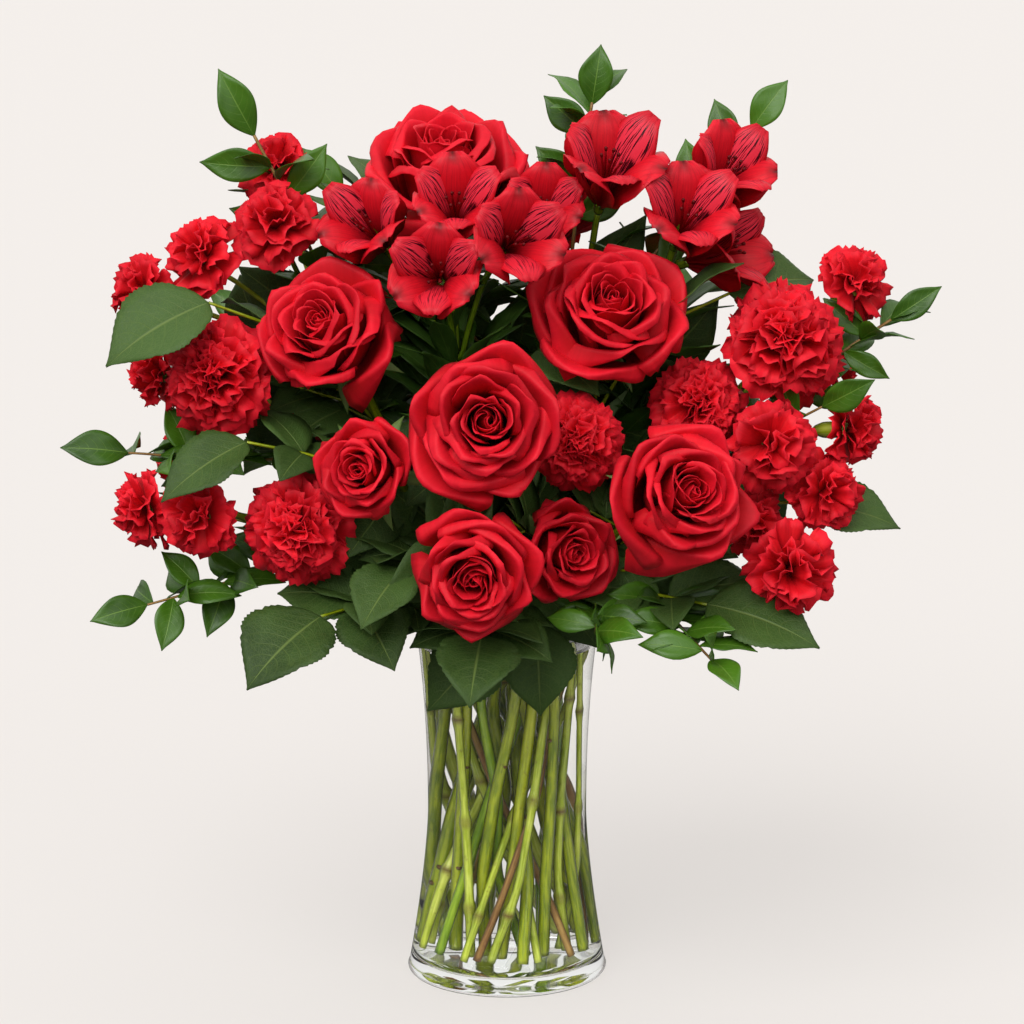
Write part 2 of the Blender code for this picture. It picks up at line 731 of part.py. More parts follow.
def grow_leaf(base, heading, sizes, face, blocked, shade, collection):
    """A leaf from its base, turned on its shoot until it is clear of every other piece, or None."""
    for shrink in (1.0, 0.84, 0.7):
        for roll in ROLLS:
            way = Matrix.Rotation(math.radians(roll), 3, face) @ heading
            tip = base + way * sizes[0] * shrink
            leaf = leaf_solid("leaf", base, tip, face, sizes[1] * shrink, shade, collection)
            tree = surface_tree(leaf, LEAF_CLEARANCE)
            if not any(tree.overlap(other) for other in blocked):
                return leaf
            bpy.data.objects.remove(leaf)
    return None


def leafy(shoot, blocked, shade, collection):
    """Leaves turn about down both sides of the shoot, and one ends it."""
    count, length, width = shoot.leaves
    leaves = []
    whole = sum((b - a).length for a, b in zip(shoot.points, shoot.points[1:]))
    spacing = length * SPREAD * 0.46
    for index in range(count):
        share = max(0.05, LEAF_ROOT - index * spacing / whole)
        base, heading = along(shoot.points, share)
        face = (direction(0, 20) * 0.9 + (base - from_lip((0, 0, 60))).normalized()).normalized()
        face = (face - heading * face.dot(heading)).normalized()
        across = heading.cross(face)
        if index:
            lean = math.radians(52 + 6 * (index % 3))
            heading = heading * math.cos(lean) + across * (-1) ** index * math.sin(lean)
        size = SPREAD * (1 - 0.06 * (index % 3))
        sizes = (length * size, width * size)
        leaf = grow_leaf(base, heading, sizes, face, blocked, shade, collection)
        leaves += [leaf] if leaf else []
    return leaves


def compound_leaf(stalk, blocked, shade, collection):
    """The leaflets of a rose leaf: one ends the stalk, and a pair sits across it."""
    count, length, width = stalk.leaflets
    tip = stalk.points[-1]
    outward = Vector((tip.x, tip.y, 0)).normalized()
    face = (outward + Vector((0, 0, 0.75)) + direction(0, 0) * (0.8 if tip.y < 0 else -0.8)).normalized()
    leaves = []
    for index in range(count):
        base = along(stalk.points, LEAF_ROOT if index == 0 else 0.78 - 0.06 * index)[0]
        heading = (outward + Vector((0, 0, -0.55))).normalized()
        here = (face - heading * face.dot(heading)).normalized()
        if index:
            swing = math.radians(62 if index % 2 else -62)
            heading = Matrix.Rotation(swing, 3, here) @ heading
        size = SPREAD * (1 if index == 0 else 0.82)
        sizes = (length * size, width * size)
        leaf = grow_leaf(base, heading, sizes, here, blocked, shade, collection)
        leaves += [leaf] if leaf else []
    return leaves


# Assembly.

HEAD_SIDES = 12
SMALL_HEAD_SIDES = 8
HEADS = {
    "rose_stem": (rose_profile, HEAD_SIDES, "rose_bloom"),
    "carnation_stem": (carnation_profile, HEAD_SIDES, "carnation_bloom"),
    "mini_carnation_spray": (spray_profile, SMALL_HEAD_SIDES, None),
    "alstroemeria_stem": (lily_profile, SMALL_HEAD_SIDES, None),
}
HEAD_SINK = 1.5 * MM  # how far a cup stands inside a head that is joined to it


def build():
    for obj in list(bpy.data.objects):
        bpy.data.objects.remove(obj)
    bouquet = bpy.data.collections.new("roses_in_vase")
    bpy.context.scene.collection.children.link(bouquet)
    petal = material("red_petal", (0.50, 0.012, 0.016), 0.5)
    green = material("green_stem", (0.20, 0.30, 0.05), 0.5)
    leaf_green = material("leaf", (0.03, 0.10, 0.015), 0.45)
    glass = material("clear_glass", (1, 1, 1), 0.02, 1.0)
    liquid = material("water", (0.96, 1, 0.98), 0.0, 1.0)

    shoots = plan_shoots()
    ease_apart(shoots)
    vase = as_mesh(build_vase(glass, bouquet), bouquet)
    water = build_water(shoots, liquid, bouquet)

    pieces = {}
    solids = []
    for shoot in shoots:
        kind = shoot.node.rsplit("_", 1)[0]
        own = pieces.setdefault(shoot.node, [])
        own.append(stem_tube(shoot, green, bouquet))
        if shoot.head is None:
            continue
        profile, sides, bloom = HEADS[kind]
        own.append(cup(shoot, 0 if bloom else HEAD_SINK, green, bouquet))
        if bloom:
            name = shoot.node.replace("stem", "bloom")
            solids.append(head_solid(name, shoot, profile, sides, GAP, petal, bouquet))
        else:
            head = head_solid("head", shoot, profile, sides, 0, petal, bouquet)
            own.append(as_mesh(head, bouquet))
    solids = [vase, water] + [as_mesh(obj, bouquet) for obj in solids]

    bpy.context.view_layer.update()
    trees = {obj.name: [surface_tree(obj, LEAF_CLEARANCE)] for obj in solids}
    for node, own in pieces.items():
        trees[node] = [surface_tree(piece, LEAF_CLEARANCE) for piece in own]
    for shoot in shoots:
        grow = leafy if shoot.leaves else compound_leaf if shoot.leaflets else None
        if grow is None:
            continue
        blocked = [tree for name, found in trees.items() if name != shoot.node for tree in found]
        grown = grow(shoot, blocked, leaf_green, bouquet)
        pieces[shoot.node] += grown
        trees[shoot.node] += [surface_tree(piece, LEAF_CLEARANCE) for piece in grown]

    for node, own in pieces.items():
        shade = leaf_green if node.startswith("green_branch") else green
        fuse(node, own, shade, bouquet)


build()
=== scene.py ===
import math
import random

import bpy
import numpy as np
from mathutils import Matrix, Vector


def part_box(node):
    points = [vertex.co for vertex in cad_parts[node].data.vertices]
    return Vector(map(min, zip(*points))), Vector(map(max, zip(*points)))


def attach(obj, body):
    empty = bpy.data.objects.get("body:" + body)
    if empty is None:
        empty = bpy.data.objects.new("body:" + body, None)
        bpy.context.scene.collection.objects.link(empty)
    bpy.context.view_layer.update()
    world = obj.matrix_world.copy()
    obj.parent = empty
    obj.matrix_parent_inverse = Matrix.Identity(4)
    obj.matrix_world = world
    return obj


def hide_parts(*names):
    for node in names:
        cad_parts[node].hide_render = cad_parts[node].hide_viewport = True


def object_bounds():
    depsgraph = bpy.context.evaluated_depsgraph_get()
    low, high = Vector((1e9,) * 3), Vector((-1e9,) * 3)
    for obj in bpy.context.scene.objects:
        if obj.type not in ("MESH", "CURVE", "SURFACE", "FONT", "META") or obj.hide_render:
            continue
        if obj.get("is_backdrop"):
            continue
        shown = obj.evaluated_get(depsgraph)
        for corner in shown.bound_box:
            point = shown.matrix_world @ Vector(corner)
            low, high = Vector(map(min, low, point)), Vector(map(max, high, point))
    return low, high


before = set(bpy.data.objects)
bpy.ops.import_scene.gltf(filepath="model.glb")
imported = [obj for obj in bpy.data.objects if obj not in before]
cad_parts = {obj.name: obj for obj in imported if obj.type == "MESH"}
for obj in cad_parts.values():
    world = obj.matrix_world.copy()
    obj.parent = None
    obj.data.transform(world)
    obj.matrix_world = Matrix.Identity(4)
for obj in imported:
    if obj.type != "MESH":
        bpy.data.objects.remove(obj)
cad_low, cad_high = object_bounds()
bpy.ops.object.select_all(action="DESELECT")
scene = bpy.context.scene
scene.view_settings.view_transform = "Standard"

# The camera: a long lens a few steps back, a little above the table, looking at the middle of the bouquet.
camera_target = Vector((0.0028, 0, 0.268))
camera_distance = 2.6
camera_rise = math.radians(13)
bpy.ops.object.camera_add()
camera = bpy.context.object
camera.name = "camera"
camera.data.lens = 163
camera.data.sensor_width = 36
camera_back = Vector((0, -math.cos(camera_rise), math.sin(camera_rise)))
camera.location = camera_target + camera_back * camera_distance
camera.rotation_euler = (-camera_back).to_track_quat("-Z", "Y").to_euler()
scene.camera = camera


# --- The vase -----------------------------------------------------------------------------------------
# A florist's gathering vase: clear pressed glass with a thick foot, a narrow waist and a flared mouth.
# The lip is fire-polished round, and the inside corner of the floor is rounded.
vase_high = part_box("vase")[1]
vase_height = vase_high.z
foot_radius = vase_high.x
waist_radius = 0.045
lip_radius = 0.0515
waist_height = 0.095
wall = 0.0026
glass_floor = 0.009
heel = 0.004
turned_sides = 128


def vase_radius(height):
    """The outside of the glass at a height above the table."""
    if height < waist_height:
        return waist_radius + (foot_radius - waist_radius) * ((waist_height - height) / waist_height) ** 1.45
    share = (height - waist_height) / (vase_height - waist_height)
    return waist_radius + (lip_radius - waist_radius) * share**2.2


def turn_on_wheel(name, profile):
    """A turned solid from a closed or axis-to-axis profile of (radius, height)."""
    mesh = bpy.data.meshes.new(name)
    edges = [(index, index + 1) for index in range(len(profile) - 1)]
    mesh.from_pydata([(radius, 0, height) for radius, height in profile], edges, [])
    turned = bpy.data.objects.new(name, mesh)
    scene.collection.objects.link(turned)
    bpy.context.view_layer.objects.active = turned
    turned.select_set(True)
    spin = turned.modifiers.new("Turn", "SCREW")
    spin.steps = spin.render_steps = turned_sides
    spin.use_merge_vertices = True
    spin.merge_threshold = 0.00001
    bpy.ops.object.modifier_apply(modifier="Turn")
    bpy.ops.object.mode_set(mode="EDIT")
    bpy.ops.mesh.select_all(action="SELECT")
    bpy.ops.mesh.remove_doubles(threshold=0.000005)
    bpy.ops.mesh.normals_make_consistent(inside=False)
    bpy.ops.object.mode_set(mode="OBJECT")
    bpy.ops.object.shade_smooth()
    turned.select_set(False)
    return turned


def arc(centre, radius, start, end, count):
    """Points on a quarter or half round of the profile, angles in degrees from +radius."""
    turns = [math.radians(start + (end - start) * step / (count - 1)) for step in range(count)]
    return [(centre[0] + math.cos(t) * radius, centre[1] + math.sin(t) * radius) for t in turns]


inside_corner = 0.006
lip_round = wall / 2
heights_out = np.linspace(vase_height - lip_round, heel * 1.4, 46)
heights_in = np.linspace(glass_floor + inside_corner, vase_height - lip_round, 46)
outside = [(vase_radius(z), z) for z in heights_out]
inside = [(vase_radius(z) - wall, z) for z in heights_in]
heel_round = arc((foot_radius - heel, heel), heel, -8, -90, 8)
underside = [(foot_radius - 0.010, 0.0), (0.040, 0.0012), (0.022, 0.0020), (0.0, 0.0022)]
floor_edge = vase_radius(glass_floor) - wall - inside_corner
floor_round = arc((floor_edge, glass_floor + inside_corner), inside_corner, -90, -4, 8)
lip = arc((lip_radius - lip_round, vase_height - lip_round), lip_round, 180, 0, 10)[1:-1]
bowl = [(0.0, glass_floor), (0.020, glass_floor)] + floor_round + inside
vase = turn_on_wheel("clear_vase", outside + heel_round + underside + bowl + lip + [outside[0]])


def fill(tree, node, inputs):
    """Gives a node's inputs their plain values, or joins them to the sockets given."""
    for label, value in inputs.items():
        if isinstance(value, bpy.types.NodeSocket):
            tree.links.new(value, node.inputs[label])
        else:
            node.inputs[label].default_value = value


def add_node(tree, kind, inputs=None, **settings):
    """A node with its settings, and its inputs by name or by number."""
    node = tree.nodes.new(kind)
    for key, value in settings.items():
        setattr(node, key, value)
    fill(tree, node, inputs or {})
    return node


def new_finish(name, inputs):
    """A material, its node tree and its Principled shader, with the shader's inputs."""
    finish = bpy.data.materials.new(name)
    finish.use_nodes = True
    shader = finish.node_tree.nodes["Principled BSDF"]
    fill(finish.node_tree, shader, inputs)
    return finish, finish.node_tree, shader


def bumped(tree, height, strength, distance):
    bump = add_node(tree, "ShaderNodeBump", {"Strength": strength, "Distance": distance, "Height": height})
    return bump.outputs["Normal"]


def rippled(tree, scale, detail, strength, distance):
    """The normal of a clear surface that isn't quite even."""
    place = add_node(tree, "ShaderNodeTexCoord").outputs["Object"]
    ripple = add_node(tree, "ShaderNodeTexNoise", {"Vector": place, "Scale": scale, "Detail": detail})
    return bumped(tree, ripple.outputs["Fac"], strength, distance)


def either_shader(tree, factor, first, second):
    mix = add_node(tree, "ShaderNodeMixShader", {"Fac": factor, 1: first, 2: second})
    return mix.outputs["Shader"]


# Light that has been mirrored inside the glass three times goes straight on, and a shadow is a soft grey.
glass_bend, water_bend = 1.5, 1.333
most_mirrored = 2.5
clear = {"Base Color": (1, 1, 1, 1), "Roughness": 0.0, "IOR": glass_bend, "Transmission Weight": 1.0}
glass, tree, shader = new_finish("vase_glass", clear)
fill(tree, shader, {"Normal": rippled(tree, 26.0, 1.0, 0.05, 0.002)})
path = add_node(tree, "ShaderNodeLightPath").outputs
mirrorings = {0: path["Glossy Depth"], 1: most_mirrored}
trapped = add_node(tree, "ShaderNodeMath", mirrorings, operation="GREATER_THAN")
through = add_node(tree, "ShaderNodeBsdfTransparent").outputs["BSDF"]
smoke = add_node(tree, "ShaderNodeBsdfTransparent", {"Color": (0.86, 0.86, 0.86, 1)}).outputs["BSDF"]
seen = either_shader(tree, trapped.outputs["Value"], shader.outputs["BSDF"], through)
seen = either_shader(tree, path["Is Shadow Ray"], seen, smoke)
fill(tree, tree.nodes["Material Output"], {"Surface": seen})
vase.data.materials.append(glass)
wetted = glass.copy()
wetted.name = "vase_glass_wet_side"
wetted.node_tree.nodes["Principled BSDF"].inputs["IOR"].default_value = glass_bend / water_bend
vase.data.materials.append(wetted)
water_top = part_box("water")[1].z
for face in vase.data.polygons:
    middle = face.center
    inward = vase_radius(middle.z) - math.hypot(middle.x, middle.y)
    if glass_floor - 0.0001 < middle.z < water_top and inward > wall * 0.6:
        face.material_index = 1
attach(vase, "root")
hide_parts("vase")


# --- The water ----------------------------------------------------------------------------------------
# Clear water to just under the lip. Its edge climbs the glass in a small meniscus, and where it wets the
# glass there is no air between them, so only its open surface bends the light.
beside = 0.00005
meniscus = 0.0008
side_heights = np.linspace(water_top + meniscus, glass_floor + inside_corner, 40)
water_side = [(vase_radius(z) - wall - beside, z) for z in side_heights]
water_corner = [(radius - beside * 0.7, height + beside * 0.7) for radius, height in floor_round[::-1]]
water_rim = vase_radius(water_top) - wall
surface = [(0.0, water_top), (water_rim - 0.006, water_top), (water_rim - 0.0025, water_top + 0.0001)]
water_floor = [(0.020, glass_floor + beside), (0.0, glass_floor + beside)]
water = turn_on_wheel("vase_water", surface + water_side + water_corner + water_floor)
clear, tree, shader = new_finish(
    "vase_water",
    {"Base Color": (0.985, 1.0, 0.985, 1), "Roughness": 0.0, "IOR": water_bend, "Transmission Weight": 1.0},
)
fill(tree, shader, {"Normal": rippled(tree, 60.0, 0.0, 0.02, 0.001)})
water.data.materials.append(clear)
wet_side = clear.copy()
wet_side.name = "vase_water_wet_side"
wet_side.node_tree.nodes["Principled BSDF"].inputs["IOR"].default_value = 1.0
water.data.materials.append(wet_side)
for face in water.data.polygons:
    middle = face.center
    if middle.z < water_top - 0.00001 or math.hypot(middle.x, middle.y) > water_rim - beside * 2:
        face.material_index = 1
water.visible_shadow = False
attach(water, "root")
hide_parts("water")


# --- The stems ----------------------------------------------------------------------------------------
# Cut green stems, stripped of leaves under water, each in one piece from its cut foot to the cup that
# holds its flower. Roses have smooth stems with a few leaf scars, carnations have a swollen joint every
# few centimetres, and the green branches are thin and woody. The cut ends are pale.
head_ring = 0.62  # the ring round a head's pole, as a share of the head's radius
leaf_widest = 0.42
leaf_camber = 0.07


def corners_of(node):
    """The node's corners with the shared ones joined, and its triangles."""
    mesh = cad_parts[node].data
    points = np.empty(len(mesh.vertices) * 3)
    mesh.vertices.foreach_get("co", points)
    points = points.reshape(-1, 3)
    index = np.empty(len(mesh.loops), np.int32)
    mesh.loops.foreach_get("vertex_index", index)
    keys = np.round(points / 2e-6).astype(np.int64)
    _, first, same = np.unique(keys, axis=0, return_index=True, return_inverse=True)
    return points[first], same.reshape(-1)[index].reshape(-1, 3)


def neighbours_of(faces, count):
    near = [set() for _ in range(count)]
    for a, b, c in faces:
        near[a] |= {b, c}
        near[b] |= {a, c}
        near[c] |= {a, b}
    return near


def heads_of(node, sunk, depth_share, pole_share):
    """Each head on the node as (base, axis, radius). Sunk says that the pole lies lower than its ring."""
    points, faces = corners_of(node)
    found = []
    for index, near in enumerate(neighbours_of(faces, len(points))):
        if len(near) < 8:
            continue
        rim = points[list(near)]
        reach = np.linalg.norm(rim - points[index], axis=1)
        if reach.std() > 0.01 * reach.mean():
            continue
        centre = rim.mean(0)
        radius = np.linalg.norm(rim - centre, axis=1).mean() / head_ring
        axis = (centre - points[index]) * (1 if sunk else -1)
        axis /= np.linalg.norm(axis)
        base = points[index] - axis * radius * 2 * depth_share * pole_share
        found.append((Vector(base), Vector(axis), radius))
    return found


def leaves_of(node):
    """Each leaf on the node as (base, tip, the way its face looks, width)."""
    points, faces = corners_of(node)
    found = []
    for index, near in enumerate(neighbours_of(faces, len(points))):
        tip, near = points[index], points[list(near)]
        if not 4 <= len(near) <= 8:
            continue
        reach = np.linalg.norm(near - tip, axis=1)
        ways = (near - tip) / reach[:, None]
        if (ways @ ways.T).min() < 0.2:
            continue
        apart = np.linalg.norm(near[:, None] - near[None], axis=2)
        spine = np.argwhere(np.abs(apart - 0.0012) < 2e-5)
        even = np.argwhere((np.abs(reach[:, None] - reach[None]) < 2e-5) & (apart > 0.008))
        if not len(even) or (len(near) == 4) != bool(len(spine)):
            continue
        left, right = near[even[0][0]], near[even[0][1]]
        middle = (left + right) / 2
        if len(spine):
            up = near[spine[0][0]] - near[spine[0][1]]
        else:
            flat = np.cross(left - tip, right - tip)
            up = flat / np.linalg.norm(flat)
        outward = middle - np.array((0, 0, 0.25))
        outward /= np.linalg.norm(outward)
        up = up / np.linalg.norm(up)
        if up @ (outward + np.array((0, -0.5 if middle[1] < 0.04 else 0.5, 0.5))) < 0:
            up = -up
        if not len(spine):
            down = (tip - middle) / np.linalg.norm(tip - middle)
            up = up * (1 - leaf_widest) - down * leaf_camber
            up /= np.linalg.norm(up)
        length = np.linalg.norm(tip - middle) / (1 - leaf_widest)
        for _ in range(3):
            run = (tip - middle + up * length * leaf_camber) / (1 - leaf_widest)
            length = np.linalg.norm(run)
        found.append((Vector(tip - run), Vector(tip), Vector(up), float(np.linalg.norm(left - right))))
    return found


def slice_middle(points, faces, place, heading, reach):
    """The middle of the stem where a slice across the heading cuts it, or None past its end."""
    side = (points - place) @ heading
    across = side[faces]
    cut = (across.min(1) < 0) & (across.max(1) >= 0)
    if not cut.any():
        return None
    corner, across = points[faces[cut]], across[cut]
    ends = np.zeros((len(corner), 3, 3))
    crossed = np.zeros((len(corner), 3), bool)
    for step, (a, b) in enumerate(((0, 1), (1, 2), (2, 0))):
        crossed[:, step] = (across[:, a] < 0) != (across[:, b] < 0)
        share = across[:, a] / np.where(crossed[:, step], across[:, a] - across[:, b], 1)
        ends[:, step] = corner[:, a] + (corner[:, b] - corner[:, a]) * share[:, None]
    order = np.argsort(~crossed, axis=1, kind="stable")[:, :2]
    rows = np.arange(len(corner))
    one, two = ends[rows, order[:, 0]], ends[rows, order[:, 1]]
    middle, length = (one + two) / 2, np.linalg.norm(one - two, axis=1)
    near = np.linalg.norm(middle - place, axis=1) < reach
    if near.sum() < 3 or length[near].sum() < 1e-6:
        return None
    return (middle[near] * length[near, None]).sum(0) / length[near].sum()


def follow(points, faces, start, heading, radius, taken, step=0.004):
    """A shoot's path from its start, until it ends or runs into a path already taken."""
    start, heading = np.array(start, float), np.array(heading, float)
    path = [start]
    for _ in range(220):
        ahead = path[-1] + heading * step
        middle = slice_middle(points, faces, ahead, heading, radius * 1.8)
        if middle is None:
            break
        move = middle - path[-1]
        move /= np.linalg.norm(move)
        heading = heading * 0.4 + move * 0.6
        heading /= np.linalg.norm(heading)
        path.append(middle)
        if len(taken) and len(path) > 2:
            gap = np.linalg.norm(taken - middle, axis=1)
            if gap.min() < radius * 1.5 + 0.002:
                path.append(taken[gap.argmin()])
                break
    return path


def smooth(path, times=4):
    path = np.array(path)
    for _ in range(times):
        path[1:-1] = (path[:-2] + path[1:-1] * 2 + path[2:]) / 4
    return path


def main_path(node, radius):
    """The path of the node's main stem, from its foot on the glass floor."""
    points, faces = corners_of(node)
    low = points[np.argmin(points[:, 2])]
    foot = points[np.linalg.norm(points - low, axis=1) < radius * 2.4].mean(0)
    return follow(points, faces, foot, (0, 0, 1), radius, [])


def side_paths(node, radius, ends, taken):
    """The paths of the side shoots, each followed back from where it ends, the farthest first."""
    points, faces = corners_of(node)
    taken = np.array(taken)
    found = []
    for end, back in sorted(ends, key=lambda pair: -(pair[0] - Vector((0, 0, 0.2))).length):
        if np.linalg.norm(taken - np.array(end), axis=1).min() < radius * 1.6 + 0.0024:
            continue
        path = follow(points, faces, end, back, radius, taken)
        if len(path) > 2:
            found.append(path)
            taken = np.concatenate([taken, np.array(path)])
    return found


class Piece:
    """Sheets and tubes gathered into one mesh, with a map across each sheet and a tone for each."""

    def __init__(self, name):
        self.name = name
        self.points, self.faces, self.maps, self.tones = [], [], [], []
        self.count = 0

    def add(self, points, faces, maps, tones):
        """Points in metres, quads, a (u, v) for each point, and a (tone, mark, tip) for each point."""
        self.points.append(np.asarray(points, np.float32))
        self.faces.append(np.asarray(faces, np.int32) + self.count)
        self.maps.append(np.asarray(maps, np.float32))
        self.tones.append(np.asarray(tones, np.float32))
        self.count += len(points)

    def finish(self, material, slot, nodes=(), thickness=0.0):
        points = np.concatenate(self.points)
        mesh = bpy.data.meshes.new(self.name)
        quads = [face for group in self.faces for face in group.tolist()]
        quads = [face if face[2] != face[3] else face[:3] for face in quads]
        mesh.from_pydata(points.tolist(), [], quads)
        index = np.empty(len(mesh.loops), np.int32)
        mesh.loops.foreach_get("vertex_index", index)
        mesh.uv_layers.new(name="across").data.foreach_set("uv", np.concatenate(self.maps)[index].ravel())
        tones = np.concatenate(self.tones)
        tones = np.concatenate([tones, np.ones((len(tones), 1), np.float32)], axis=1)
        mesh.color_attributes.new("tone", "FLOAT_COLOR", "POINT").data.foreach_set("color", tones.ravel())
        made = bpy.data.objects.new(self.name, mesh)
        scene.collection.objects.link(made)
        made.data.materials.append(material)
        bpy.context.view_layer.objects.active = made
        made.select_set(True)
        if thickness:
            wall = made.modifiers.new("Thickness", "SOLIDIFY")
            wall.thickness = thickness
            wall.offset = 0
            bpy.ops.object.modifier_apply(modifier="Thickness")
        bpy.ops.object.shade_smooth()
        made.select_set(False)
        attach(made, "root")
        if nodes:
            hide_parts(*nodes)


def add_tube(piece, path, radii, tone, marks, sides=12):
    """A round shoot along a path, with a radius and a mark at each of its points."""
    path = np.array(path)
    heading = np.gradient(path, axis=0)
    heading /= np.linalg.norm(heading, axis=1)[:, None]
    side = np.cross(heading[0], (0.0, 1.0, 0.1))
    side /= np.linalg.norm(side)
    rings, maps, tones = [], [], []
    run = np.concatenate([[0], np.cumsum(np.linalg.norm(np.diff(path, axis=0), axis=1))])
    turns = np.linspace(0, 2 * math.pi, sides, endpoint=False)
    for step in range(len(path)):
        side = side - heading[step] * (side @ heading[step])
        side /= np.linalg.norm(side)
        other = np.cross(heading[step], side)
        around = np.outer(np.cos(turns), side) + np.outer(np.sin(turns), other)
        rings.append(path[step] + radii[step] * around)
        maps += [(turn / (2 * math.pi), run[step]) for turn in turns]
        tones += [(tone, marks[step], 0.0)] * sides
    points = np.concatenate(rings + [path[:1], path[-1:]])
    maps += [(0.5, run[0]), (0.5, run[-1])]
    tones += [(tone, marks[0], 1.0), (tone, marks[-1], 0.0)]
    faces = []
    for ring_index in range(len(path) - 1):
        for turn in range(sides):
            a, b = ring_index * sides + turn, ring_index * sides + (turn + 1) % sides
            faces.append((a, b, b + sides, a + sides))
    first, last = len(points) - 2, len(points) - 1
    top = (len(path) - 1) * sides
    for turn in range(sides):
        faces.append(((turn + 1) % sides, turn, first, first))
        faces.append((top + turn, top + (turn + 1) % sides, last, last))
    piece.add(points, faces, maps, tones)


def resample(path, spacing):
    path = np.array(path)
    run = np.concatenate([[0], np.cumsum(np.linalg.norm(np.diff(path, axis=0), axis=1))])
    count = max(3, int(round(run[-1] / spacing)) + 1)
    at = np.linspace(0, run[-1], count)
    return np.stack([np.interp(at, run, path[:, k]) for k in range(3)], axis=1), at


def stem_radii(at, radius, joints, seed):
    """Radii with swollen joints at regular distances, and a mark that is 1 at each joint."""
    dice = random.Random(seed)
    radii = radius * (1 + 0.04 * np.sin(at * 61 + seed))
    marks = np.zeros(len(at))
    if joints:
        place = dice.uniform(0.02, joints)
        while place < at[-1] - 0.02:
            near = np.exp(-(((at - place) / 0.0036) ** 2))
            radii = radii + radius * 0.50 * near
            marks = np.maximum(marks, np.exp(-(((at - place) / 0.0020) ** 2)))
            place += joints * dice.uniform(0.8, 1.25)
    return radii, marks


def new_group(name, inputs, outputs):
    """A shader node group with named sockets, what comes in at them, and its output node."""
    group = bpy.data.node_groups.new(name, "ShaderNodeTree")
    kinds = {"colour": "NodeSocketColor", "value": "NodeSocketFloat"}
    for label, kind in inputs:
        group.interface.new_socket(name=label, in_out="INPUT", socket_type=kinds[kind])
    for label, kind in outputs:
        group.interface.new_socket(name=label, in_out="OUTPUT", socket_type=kinds[kind])
    return group, add_node(group, "NodeGroupInput").outputs, add_node(group, "NodeGroupOutput")


def mixed(tree, factor, first, second):
    """A colour mix. Each of the three is a socket or a plain value."""
    inputs = {"Factor": factor, "A": first, "B": second}
    return add_node(tree, "ShaderNodeMix", inputs, data_type="RGBA").outputs["Result"]


def ranged(tree, source, from_low, from_high, to_low=0.0, to_high=1.0):
    ends = {"From Min": from_low, "From Max": from_high, "To Min": to_low, "To Max": to_high}
    return add_node(tree, "ShaderNodeMapRange", {"Value": source} | ends).outputs["Result"]


def worked(tree, operation, *sources, clamp=False):
    """A Math node on sockets or plain values."""
    inputs = dict(enumerate(sources))
    return add_node(tree, "ShaderNodeMath", inputs, operation=operation, use_clamp=clamp).outputs["Value"]


def stretched(tree, vector, scale):
    return add_node(tree, "ShaderNodeMapping", {"Vector": vector, "Scale": scale}).outputs["Vector"]


def noise_on(tree, vector, scale, detail, stretch=None):
    """Noise on a vector socket, stretched by a Mapping node where a stretch is given."""
    vector = stretched(tree, vector, stretch) if stretch else vector
    inputs = {"Vector": vector, "Scale": scale, "Detail": detail}
    return add_node(tree, "ShaderNodeTexNoise", inputs).outputs["Fac"]


def tones_of(tree):
    """The red, green and blue of the piece's tone attribute."""
    tone = add_node(tree, "ShaderNodeVertexColor", layer_name="tone").outputs["Color"]
    parts = add_node(tree, "ShaderNodeSeparateColor", {"Color": tone}).outputs
    return parts["Red"], parts["Green"], parts["Blue"]


def split_map(tree):
    """Where a point lies on its sheet's map: the node's outputs, and how far it is from base to tip."""
    place = add_node(tree, "ShaderNodeTexCoord").outputs
    return place, add_node(tree, "ShaderNodeSeparateXYZ", {"Vector": place["UV"]}).outputs["Y"]


# Three colours that change slowly along the stem, fine streaks, brown rings at the joints and a pale cut.
rind_group, given, put_out = new_group(
    "stem_rind",
    (*((label, "colour") for label in ("Dark", "Middle", "Light", "Joint")), ("Streaks", "value")),
    (("Colour", "colour"), ("Height", "value")),
)
place = add_node(rind_group, "ShaderNodeTexCoord").outputs
each_stem, ring_mark, cut_end = tones_of(rind_group)
patches = noise_on(rind_group, place["Object"], 34.0, 3.0)
fibres = noise_on(rind_group, place["UV"], 1.0, 2.0, (14.0, 60.0, 1.0))
spots = noise_on(rind_group, place["Object"], 260.0, 2.0)
shift = worked(rind_group, "ADD", patches, each_stem)
colour = mixed(rind_group, ranged(rind_group, shift, 0.52, 0.76), given["Dark"], given["Middle"])
colour = mixed(rind_group, ranged(rind_group, shift, 0.76, 0.98), colour, given["Light"])
streak = worked(rind_group, "MULTIPLY", ranged(rind_group, fibres, 0.35, 0.75), given["Streaks"])
colour = mixed(rind_group, streak, colour, given["Dark"])
ridge = worked(rind_group, "MULTIPLY", ranged(rind_group, fibres, 0.56, 0.46), 0.30)
colour = mixed(rind_group, ridge, colour, given["Light"])
specks = worked(rind_group, "MULTIPLY", ranged(rind_group, spots, 0.66, 0.72), 0.35)
colour = mixed(rind_group, specks, colour, given["Joint"])
colour = mixed(rind_group, ring_mark, colour, given["Joint"])
colour = mixed(rind_group, cut_end, colour, (0.66, 0.66, 0.38, 1))
fill(rind_group, put_out, {"Colour": colour, "Height": fibres})


